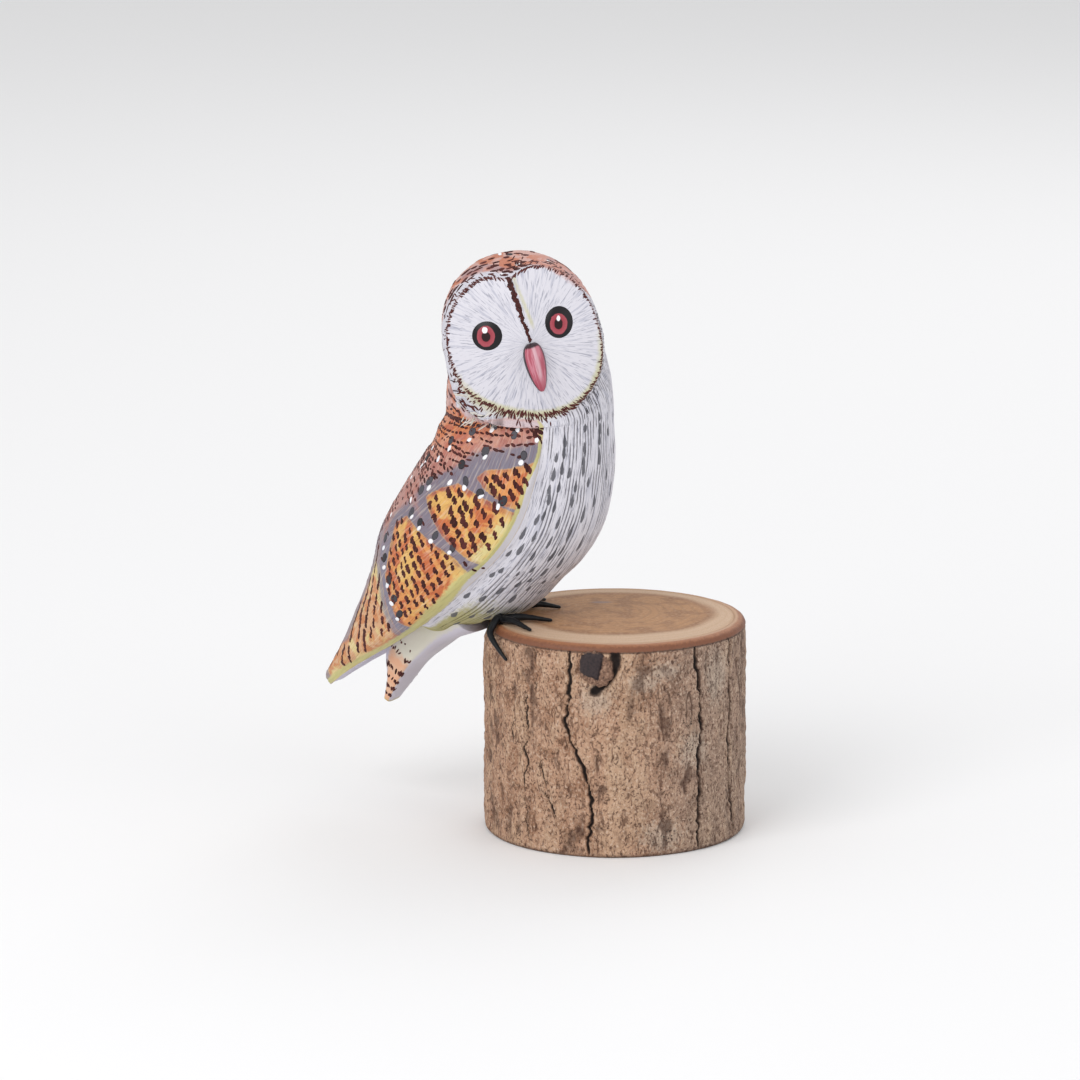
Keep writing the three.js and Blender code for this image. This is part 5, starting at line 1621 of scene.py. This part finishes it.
def dab_paint(name, dark, light, roughness):
    """Thick acrylic, mottled between two shades; each dab has its own tone."""
    paint, tree = new_material(name)
    tone = add(tree, "ShaderNodeAttribute", {"attribute_name": "tone"}).outputs["Fac"]
    here = add(tree, "ShaderNodeTexCoord").outputs["Object"]
    mottle = add(tree, "ShaderNodeTexNoise", None, {"Vector": here, "Scale": 1 / (0.5 * MM)}).outputs["Fac"]
    share = add(tree, "ShaderNodeMath", {"operation": "MULTIPLY_ADD"}, {0: mottle, 1: 0.6, 2: -0.3})
    share = add(tree, "ShaderNodeMath", {"operation": "ADD", "use_clamp": True}, {
        0: share.outputs[0], 1: tone}).outputs[0]
    shade = add(tree, "ShaderNodeMix", {"data_type": "RGBA"}, {0: share, 6: linear(dark), 7: linear(light)})
    surface(tree, shade.outputs[2], roughness, 0.2)
    return paint


def lay(kind, on, slot_name):
    """Turns the cloud of one kind of dab into a plain mesh on a piece."""
    place, normal, run, size, tone = (np.concatenate(part) for part in zip(*dab_sets[kind]))
    cloud = bpy.data.meshes.new("cloud")
    cloud.from_pydata((place * MM).tolist(), [], [])
    holder = bpy.data.objects.new(f"dabs_{kind}", cloud)
    scene.collection.objects.link(holder)
    half_size = np.column_stack([size / 2, np.full(len(size), 0.05)]) * MM
    for name, values in (("dab_normal", normal), ("dab_run", run), ("dab_size", half_size), ("tone", tone)):
        note(holder, name, values)
    paint = dab_paint(*DAB_PAINTS[kind])
    modifier = holder.modifiers.new("dabs", "NODES")
    modifier.node_group = dab_tree
    modifier[inputs_by_name["Skin"]] = on
    modifier[inputs_by_name["Paint"]] = paint
    evaluated = holder.evaluated_get(bpy.context.evaluated_depsgraph_get())
    plain = bpy.data.meshes.new_from_object(evaluated)
    holder.modifiers.remove(modifier)
    holder.data = plain
    plain.materials.clear()
    plain.materials.append(paint)
    finish(holder, slot_name)
    print(f"dabs_{kind}: {len(place)} dabs, {sum(len(p.vertices) - 2 for p in plain.polygons)} triangles")


for kind in dab_sets:
    on_tail = kind == "tail"
    lay(kind, tail if on_tail else skin, "painted_wood_tail" if on_tail else "painted_wood_wing")

# %% [markdown]
# ## The log
# A thick slice of a branch stands on end with its bark on. The bark is a tube of many small faces, pushed
# in and out: broad swells, plates a few millimetres wide, and long cracks in painted shadow that wander down
# the side.
# The top edge of the bark was sanded to a smooth red-brown band.

# %% The bark's section and its cracks
KNOT_AZIMUTH, KNOT_HEIGHT = -100.0, 48.6
BARK_COLUMNS = 620
FOOT_EDGE = [(29.95, 0), (31, 0), (32.2, 0.05), (32.6, 0.4)]  # radius and height, mm
TOP_BAND = [
    (32.55, 52.05), (32.75, 52.25), (32.8, 52.5), (32.65, 52.9), (32.3, 53.35), (31.8, 53.72), (31.2, 53.93),
    (30.6, 54.0), (29.97, 54.0)]
BARK_INSIDE = [(29.95, 53.9), (29.95, 40), (29.95, 14)]  # the bark is a tube round the wood
CRACKS = [  # heights mm, azimuths in degrees from the front, half width mm, depth mm
    ((53, 39, 34, 30, 20, 15, 10.7, 5, 0), (-20.1, -21, -22.5, -20, -12.4, -11, -9.8, -12, -12.6), 0.42, 1.1),
    ((53, 49, 43, 36, 30, 24, 17, 12, 0), (37.4, 37, 39.3, 40, 41, 38.6, 40, 39.5, 38.6), 0.42, 1.2),
    ((53, 42, 35, 29, 15, 10, 1), (59.7, 60, 61.8, 59.5, 60.5, 63, 65), 0.40, 1.1),
    ((40, 28, 26, 22, 17, 3), (-42.3, -42.3, -44, -42, -44, -41), 0.28, 0.55),
    ((24, 19.6, 15, 12, 9.5), (-34.9, -33, -31.6, -28.5, -27.7), 0.26, 0.5),
    ((52, 38, 30), (-72, -71, -73), 0.25, 0.5), ((34, 26), (-52, -51), 0.22, 0.4),
    ((27, 22), (-56, -56), 0.2, 0.35), ((52, 47), (-38, -36), 0.2, 0.35),
    ((44, 42.5, 40.5), (-37.6, -36.2, -37.4), 0.3, 0.5),
]
wall = [(LOG_RADIUS, z) for z in np.linspace(0.8, 51.7, 118)]
profile = np.array(FOOT_EDGE + wall + TOP_BAND + BARK_INSIDE)
rng = np.random.default_rng(31)
for start in range(104, 282, 19):  # more of them on the side away from the front
    top, low = rng.uniform(36, 53), rng.uniform(0, 20)
    bends = start + rng.uniform(-4, 4) + np.cumsum(rng.normal(0, 1.4, 6))
    CRACKS.append((np.linspace(top, low, 6), bends, rng.uniform(0.25, 0.45), rng.uniform(0.4, 1.1)))
print("bark section:", len(profile), "places;", len(CRACKS), "cracks")

# %% The bark's relief
BARK_HILLS = (  # how many around the log, how tall in mm, height in mm, seed
    (64, 30, 0.16, 41), (64, 9, 0.20, 42), (128, 4.0, 0.19, 43), (192, 1.6, 0.14, 44), (256, 0.8, 0.09, 45))


def bark_noise(angle, height, around, tall, seed):
    """Soft hills on the log's side: so many of them around it, each so tall in mm."""
    return soft_noise(angle / (2 * math.pi) * around, height / tall, seed)


azimuth = 2 * math.pi * np.arange(BARK_COLUMNS)[None, :] / BARK_COLUMNS
plain_radius = profile[:, :1]
height = profile[:, 1:2] + 0 * azimuth
from_front = wrap(azimuth + math.pi / 2) + 0 * height
on_wall = ease(height, 0.3, 1.5) * ease(height, 52.4, 51.2) * (plain_radius > 32.3)
# painted shadow in the cracks and the crevice, from 0 to 1
painted_crack_shadow = np.zeros(height.shape)
relief = np.zeros(height.shape)
for around, tall, size, seed in BARK_HILLS:
    relief = relief + size * bark_noise(azimuth, height, around, tall, seed)
seams = np.abs(bark_noise(azimuth, height, 128, 12, 46))
relief = relief - 0.35 * bump(seams, 0.10) * ease(bark_noise(azimuth, height, 64, 20, 47), -0.1, 0.5)
for heights, degrees, half_width, deep in CRACKS:
    heights, degrees = np.array(heights)[::-1], np.radians(degrees)[::-1]
    lowest, highest = heights[0], heights[-1]
    middle = np.interp(height, heights, degrees) + 0.012 * soft_noise(height / 1.3, 0 * height + lowest, 51)
    off = wrap(from_front - middle) * LOG_RADIUS
    off = off + 0.22 * soft_noise(height / 0.7, 0 * height + highest, 52)
    present = ease(height, lowest - 0.8, lowest + 1.2) * ease(height, highest + 0.8, highest - 1.2)
    wide = half_width * (0.9 + 0.6 * soft_noise(height / 3, 0 * height + lowest, 53))
    relief = relief - present * (deep * bump(off, wide) - 0.22 * bump(np.abs(off) - 2.2 * wide, wide * 1.2))
    # painted shadow: each crack is darkened, more where it is deep
    painted_crack_shadow = np.maximum(painted_crack_shadow, present * bump(off, wide * 0.95) * min(1.0, 0.35 + deep))
print("relief from", round(float(relief.min()), 2), "to", round(float(relief.max()), 2), "mm")

# %% The hollow round the knot
CREVICE = [(5.3, 3.6), (5.6, 1.2), (5.0, -1.0), (3.6, -3.0), (2.0, -4.8), (0.4, -6.2)]  # mm from the knot


def off_line(x, y, knots):
    """Distance to a line through a few places."""
    best = np.full(np.broadcast(x, y).shape, 1e9)
    for (x0, y0), (x1, y1) in zip(knots[:-1], knots[1:]):
        run_x, run_y = x1 - x0, y1 - y0
        share = np.clip(((x - x0) * run_x + (y - y0) * run_y) / (run_x**2 + run_y**2), 0, 1)
        best = np.minimum(best, np.hypot(x - x0 - share * run_x, y - y0 - share * run_y))
    return best


knot_u = wrap(azimuth - math.radians(KNOT_AZIMUTH)) * LOG_RADIUS
knot_w = height - KNOT_HEIGHT
crevice = off_line(knot_u + 0.3 * soft_noise(knot_w, knot_u, 54), knot_w, CREVICE)
relief = relief - 1.6 * bump(crevice, 1.2) + 0.5 * bump(crevice - 2.0, 0.8)
relief = relief + 0.4 * bump(np.hypot(knot_u, knot_w) - 5.2, 1.6)
relief = np.clip(relief, -1.7, 0.62) * on_wall
# painted shadow: the crevice round the knot is darkened as well
painted_crack_shadow = np.maximum(painted_crack_shadow, bump(crevice, 1.3))

# %% The bark as a tube
radius = plain_radius + relief + 0.12 * np.sin(3 * azimuth + 0.9) + 0.07 * np.sin(7 * azimuth + height / 11)
# A chip is missing from the back left of the rim.
radius = radius - 1.7 * ease(height, 48.5, 53.5) * bump(wrap(azimuth - math.pi), 0.34)
radius = radius + 0.07 * bark_noise(azimuth, height, 64, 3, 48) * (height > 52)
radius = np.where(plain_radius > 30.5, radius, plain_radius)
bark_points = np.stack([radius * np.cos(azimuth), radius * np.sin(azimuth), height], -1)
i, j = np.meshgrid(np.arange(len(profile)), np.arange(BARK_COLUMNS), indexing="ij")
this_row, next_row = i * BARK_COLUMNS, (i + 1) % len(profile) * BARK_COLUMNS
next_j = (j + 1) % BARK_COLUMNS
bark_faces = np.stack([this_row + j, next_row + j, next_row + next_j, this_row + next_j], -1).reshape(-1, 4)
bark_paint, tree = new_material("rough_bark")
bark = make_piece("bark", bark_points.reshape(-1, 3), bark_faces.tolist(), [bark_paint])

# %% Notes for the bark's material
PALE_PATCHES = (  # degrees from the front, height, how wide and how tall, mm: thin films of lichen
    (-9, 40, 5, 4.5), (12, 44.5, 4.5, 3), (22, 47, 5, 2.4), (36, 26, 5, 5), (20, 5, 6, 4.5), (50, 44, 5, 8),
    (150, 30, 9, 9), (-150, 22, 8, 11))
SPECKLED_PATCHES = ((33.4, 33.8, 2.4, 2.6), (24, 5, 2.6, 2.2), (36, 28, 2.8, 3.0), (170, 18, 3, 3))


def patches(wanted):
    """Soft round patches on the log's side, 1 in their middles."""
    each = []
    for degrees, middle, wide, tall in wanted:
        around = wrap(from_front - math.radians(degrees)) * LOG_RADIUS
        each.append(bump(np.hypot(around / wide, (height - middle) / tall), 1.0))
    return np.maximum.reduce(each)


for name, values in (
        ("crack", painted_crack_shadow), ("relief", relief), ("pale", patches(PALE_PATCHES)),
        ("speckle", patches(SPECKLED_PATCHES)), ("height", height), ("out", plain_radius + 0 * azimuth),
        ("turned", from_front)):
    note(bark, name, values.ravel())
print("lichen and speckles:", len(PALE_PATCHES), "and", len(SPECKLED_PATCHES), "patches")

# %% [markdown]
# ## Bark and wood materials
# Dry bark is matt and mottled, brown on one side and greyer on the other, with pale lichen films. Its
# cracks, the crevice by the knot and its low places are darkened with painted shadow. The sanded top
# shows brown heartwood set off centre in pale sapwood, with faint growth rings.

# %% Bark material
here = add(tree, "ShaderNodeTexCoord").outputs["Object"]
tall_here, low_here = (
    add(tree, "ShaderNodeVectorMath", {"operation": "MULTIPLY"}, {0: here, 1: (1, 1, squash)}).outputs[0]
    for squash in (0.4, 0.75))
BARK_NOISES = {  # name: (what it follows, mm between repeats, detail, distortion)
    "grit": (low_here, 0.6, 4.0, 0.6),
    "fibre": (tall_here, 1.5, 4.0, 1.2),
    "patch": (here, 6.0, 3.0, 0.6),
    "cloud": (tall_here, 10.0, 2.0, 0.3),
    "edge": (here, 0.9, 2.0, 0.0),
}
noise = {}
for name, (follows, repeats, detail, distortion) in BARK_NOISES.items():
    noise[name] = add(tree, "ShaderNodeTexNoise", None, {
        "Vector": follows, "Scale": 1 / (repeats * MM), "Detail": detail, "Roughness": 0.65,
        "Distortion": distortion}).outputs["Fac"]
holes = add(tree, "ShaderNodeTexVoronoi", None, {
    "Vector": here, "Scale": 1 / (0.75 * MM)}).outputs["Distance"]
bark_read = {}
for name in ("crack", "relief", "pale", "speckle", "height", "out", "turned"):
    bark_read[name] = add(tree, "ShaderNodeAttribute", {"attribute_name": name}).outputs["Fac"]
BARK_MASKS = {  # name: (value it reads, value at 0, value at 1, how ragged its edge is)
    "grit": (noise["grit"], 0.53, 0.62, 0.0),
    "light_grit": (noise["grit"], 0.45, 0.37, 0.0),
    "fibre": (noise["fibre"], 0.54, 0.64, 0.0),
    "patch": (noise["patch"], 0.46, 0.60, 0.0),
    "cloud": (noise["cloud"], 0.45, 0.6, 0.0),
    # painted shade: the bark is darkened where its relief is low
    "low": (bark_read["relief"], -0.02, -0.40, 0.2),
    "high": (bark_read["relief"], 0.12, 0.42, 0.3),
    "crack": (bark_read["crack"], 0.25, 0.7, 0.3),
    "pale": (bark_read["pale"], 0.2, 0.9, 1.3),
    "speckle": (bark_read["speckle"], 0.35, 0.6, 0.5),
    "hole": (holes, 0.33, 0.22, 0.0),
    "grey_side": (bark_read["turned"], 0.0, 0.75, 0.6),
    "band": (bark_read["height"], 52.2, 52.5, 0.7),
    "band_top": (bark_read["out"], 32.5, 31.5, 1.2),
    "sap": (bark_read["out"], 31.3, 30.5, 0.5),
    "seam": (bark_read["height"], 51.7, 52.1, 0.5),
    "foot": (bark_read["height"], 1.3, 0.2, 1.2),
}
masks = soft_masks(tree, BARK_MASKS, noise["edge"])
BARK_WASHES = [  # (masks that limit the colour, its strength, the colour)
    (("patch",), 0.6, "#8C6247"),
    (("cloud",), 0.45, "#C4A487"),
    (("grey_side",), 0.6, "#8F7D71"),
    (("grey_side", "patch"), 0.35, "#7C6758"),
    (("pale",), 0.5, "#C2B3A3"),
    (("high",), 0.35, "#CBAE93"),
    (("light_grit",), 0.5, "#DDC6B2"),
    (("grit",), 0.85, "#4A3228"),
    (("fibre",), 0.72, "#5E4132"),
    # painted shade in the bark's low places
    (("low",), 0.7, "#452C22"),
    (("speckle", "hole"), 0.85, "#2A211D"),
    (("foot",), 0.6, "#4E352A"),
    # painted shadow in the cracks and the crevice
    (("crack",), 0.95, "#1C1412"),
    (("seam",), 0.7, "#3E2620"),
    (("band",), 1.0, "#7A4A31"),
    (("band", "band_top"), 0.85, "#A56E4A"),
    (("band", "grit"), 0.35, "#5A3828"),
    (("band", "sap"), 0.9, "#BF9A7B"),
]
bark_colour = wash_over(tree, "#BC957A", BARK_WASHES, masks)
rough, wild = (  # the sanded band is smoother than the bark, and its grain is shallower
    add(tree, "ShaderNodeMapRange", None, {
        "Value": masks["band"], "To Min": on_bark, "To Max": on_band}).outputs[0]
    for on_bark, on_band in ((0.92, 0.55), (1.0, 0.15)))
bark_grain = add(tree, "ShaderNodeMath", {"operation": "MULTIPLY_ADD"}, {
    0: noise["fibre"], 1: 1.4, 2: noise["grit"]}).outputs[0]
surface(tree, bark_colour, rough, relief=bark_grain, strength=wild, depth=0.35)
finish(bark, "log_bark", "log_bark")

# %% The wood inside
WOOD_COLUMNS, WOOD_RADIUS = 240, 29.93
wood_profile = [(r, 0.0) for r in (8, 20, 29)] + [(WOOD_RADIUS, z) for z in (0.1, 20, 40, 53.9)]
wood_profile = np.array(wood_profile + [(r, LOG_TOP) for r in np.linspace(29.9, 0.6, 60)])
wood_turn = 2 * math.pi * np.arange(WOOD_COLUMNS)[None, :] / WOOD_COLUMNS
wood_x, wood_y = (wood_profile[:, :1] * turned(wood_turn) for turned in (np.cos, np.sin))
wood_z = wood_profile[:, 1:] + 0 * wood_turn
unevenness = 0.05 * soft_noise(wood_x / 7, wood_y / 7, 61) + 0.02 * soft_noise(wood_x / 1.5, wood_y / 0.8, 62)
wood_z = wood_z + (wood_z >= LOG_TOP) * ease(wood_profile[:, :1], 29.9, 28) * unevenness
wood_poles = [np.array([0, 0, 0.0]), np.array([0, 0, LOG_TOP])]
wood_paint, tree = new_material("sanded_end_grain")
wood = shell("sawn_wood", np.stack([wood_x, wood_y, wood_z], -1), wood_poles, [wood_paint])
heart = np.hypot(wood_x - 0.5, (wood_y - 2.6) * 1.03) + 0.8 * soft_noise(wood_x / 9 + 30, wood_y / 9 + 30, 63)
pith = np.hypot(wood_x + 2.0, wood_y - 4.0) + 0.9 * soft_noise(wood_x / 8 + 20, wood_y / 8 + 20, 64)
stain = bump(np.hypot((wood_x + 3.2) / 3.2, (wood_y - 15.0) / 1.6), 1.0)
for name, values in (("heart", heart), ("pith", pith), ("stain", stain), ("reach", np.hypot(wood_x, wood_y))):
    note(wood, name, np.concatenate([[values[0].mean()], values.ravel(), [values[-1].mean()]]))

# %% Wood material
RING_WIDTH = 2.3  # mm from one growth ring to the next
here = add(tree, "ShaderNodeTexCoord").outputs["Object"]
long_here = add(tree, "ShaderNodeVectorMath", {"operation": "MULTIPLY"}, {0: here, 1: (0.5, 1, 1)}).outputs[0]
cloud, sanding, pores = (
    add(tree, "ShaderNodeTexNoise", None, {
        "Vector": follows, "Scale": 1 / (repeats * MM), "Detail": detail}).outputs["Fac"]
    for follows, repeats, detail in ((here, 6, 3.0), (long_here, 0.5, 3.0), (here, 0.3, 2.0)))
heart_at, pith_at, stain_at, reach_at = (
    add(tree, "ShaderNodeAttribute", {"attribute_name": name}).outputs["Fac"]
    for name in ("heart", "pith", "stain", "reach"))
ring_at = add(tree, "ShaderNodeMath", {"operation": "MULTIPLY_ADD"}, {0: cloud, 1: 1.6, 2: pith_at})
ring_at = add(tree, "ShaderNodeMath", {"operation": "MULTIPLY"}, {
    0: ring_at.outputs[0], 1: 2 * math.pi / RING_WIDTH}).outputs[0]
ring_wave = add(tree, "ShaderNodeMath", {"operation": "SINE"}, {0: ring_at}).outputs[0]
masks = soft_masks(tree, {
    "ring": (ring_wave, 0.2, 1.0, 0.0),
    "sap": (heart_at, 22.6, 26.0, 1.2),
    "line": (heart_at, 21.0, 23.2, 1.0),
    "cloud": (cloud, 0.45, 0.62, 0.0),
    "sanding": (sanding, 0.48, 0.66, 0.0),
    "pores": (pores, 0.56, 0.70, 0.0),
    "stain": (stain_at, 0.25, 0.8, 0.4),
    "rim": (reach_at, 28.8, 29.8, 0.7),
}, sanding)
wood_colour = wash_over(tree, "#AE8158", [
    (("cloud",), 0.8, "#916746"),
    (("ring",), 0.3, "#886446"),
    (("line",), 0.5, "#865E44"),
    (("sap",), 0.95, "#CBAE93"),
    (("sap", "ring"), 0.2, "#B9936F"),
    (("sanding",), 0.4, "#C6A282"),
    (("pores",), 0.5, "#75523A"),
    (("stain",), 0.6, "#8A7B7B"),
    (("rim",), 0.35, "#B58C68"),
], masks)
surface(tree, wood_colour, 0.7, relief=sanding, strength=0.3, depth=0.06)
finish(wood, "log_wood", "log_wood")

# %% [markdown]
# ## The knot
# A branch stub, sawn off at a slant: a dark flat face with a rough brown rim, its foot in painted shade.
# It is a lumpy button on the bark, whose top is cut away by a plane inside a four-sided outline.

# %% The knot's shape
KNOT_RADIUS, KNOT_RISE, KNOT_COLUMNS = 3.9, 2.1, 72
knot_turn = 2 * math.pi * np.arange(KNOT_COLUMNS)[None, :] / KNOT_COLUMNS
knot_share = np.concatenate([np.linspace(0.05, 1, 22), [1.06, 1.1]])[:, None]
knot_uneven = 0.07 * soft_noise(knot_turn / (2 * math.pi) * 64, 0 * knot_turn, 71)
knot_wide = KNOT_RADIUS * (1 + 0.10 * np.cos(2 * knot_turn + 1.0) + knot_uneven)
knot_u = 0.7 + knot_wide * np.cos(knot_turn) * knot_share * 1.05
knot_w = -0.4 + knot_wide * np.sin(knot_turn) * knot_share * 1.22
facet = [2.2 - knot_u + 0.25 * knot_w, knot_u + 3.0, 3.7 - knot_w, knot_w + 2.6 + 0.5 * knot_u]
facet = np.minimum.reduce(facet)
facet = facet + 0.25 * soft_noise(knot_u / 0.8, knot_w / 0.8, 72)
lump = KNOT_RISE * np.sqrt(np.clip(1 - knot_share**4, 0, 1))
lump = lump + 0.35 * soft_noise(knot_u / 1.1, knot_w / 1.1, 73) * ease(facet, 0.3, -0.4)
lump = np.where(facet > 0, np.minimum(lump, 1.55 - 0.18 * knot_u), lump)
lump = lump - 0.25 * bump(facet, 0.35) - 1.6 * ease(knot_share, 0.98, 1.1)
knot_angle = math.radians(KNOT_AZIMUTH) + knot_u / LOG_RADIUS
knot_out = LOG_RADIUS + lump
knot_points = [knot_out * np.cos(knot_angle), knot_out * np.sin(knot_angle), KNOT_HEIGHT + knot_w + 0 * lump]
knot_points = np.stack(knot_points, -1)
centre_out = np.array([math.cos(math.radians(KNOT_AZIMUTH)), math.sin(math.radians(KNOT_AZIMUTH)), 0])
knot_back = centre_out * (LOG_RADIUS - 2.4) + np.array([0.7, 0, KNOT_HEIGHT - 0.4])
knot_paint, tree = new_material("sawn_knot_and_bark_rim")
knot = shell("branch_knot", knot_points, [knot_points[0].mean(0), knot_back], [knot_paint])
note(knot, "facet", np.concatenate([[1.5], (facet + 0 * knot_share).ravel(), [-2]]))
# painted shade: how low each place of the knot lies, for darkening its flanks and foot
note(knot, "low", np.concatenate([[0.0], (1 - lump).ravel(), [2]]))

# %% Knot material
here = add(tree, "ShaderNodeTexCoord").outputs["Object"]
grit = add(tree, "ShaderNodeTexNoise", None, {
    "Vector": here, "Scale": 1 / (0.6 * MM), "Detail": 4.0, "Roughness": 0.65}).outputs["Fac"]
facet_at, knot_shade_at = (
    add(tree, "ShaderNodeAttribute", {"attribute_name": name}).outputs["Fac"] for name in ("facet", "low"))
masks = soft_masks(tree, {
    "facet": (facet_at, -0.1, 0.25, 0.5),
    "low": (knot_shade_at, 0.2, 1.3, 0.8),
    "grit": (grit, 0.48, 0.64, 0.0),
    "light": (grit, 0.47, 0.36, 0.0),
}, grit)
knot_colour = wash_over(tree, "#7F5E4B", [
    (("grit",), 0.75, "#3E2A22"),
    (("light",), 0.4, "#BC9C84"),
    # painted shade on the knot's low flanks and foot
    (("low",), 0.8, "#2A1C18"),
    (("facet",), 0.95, "#2B2125"),
    (("facet", "grit"), 0.5, "#1B1518"),
], masks)
surface(tree, knot_colour, 0.75, relief=grit, strength=0.6, depth=0.25)
finish(knot, "log_knot", "log_knot")

# %% Finish the owl's body
finish(skin, "painted_wood_white", "head", "trunk", "wing_right", "wing_left")
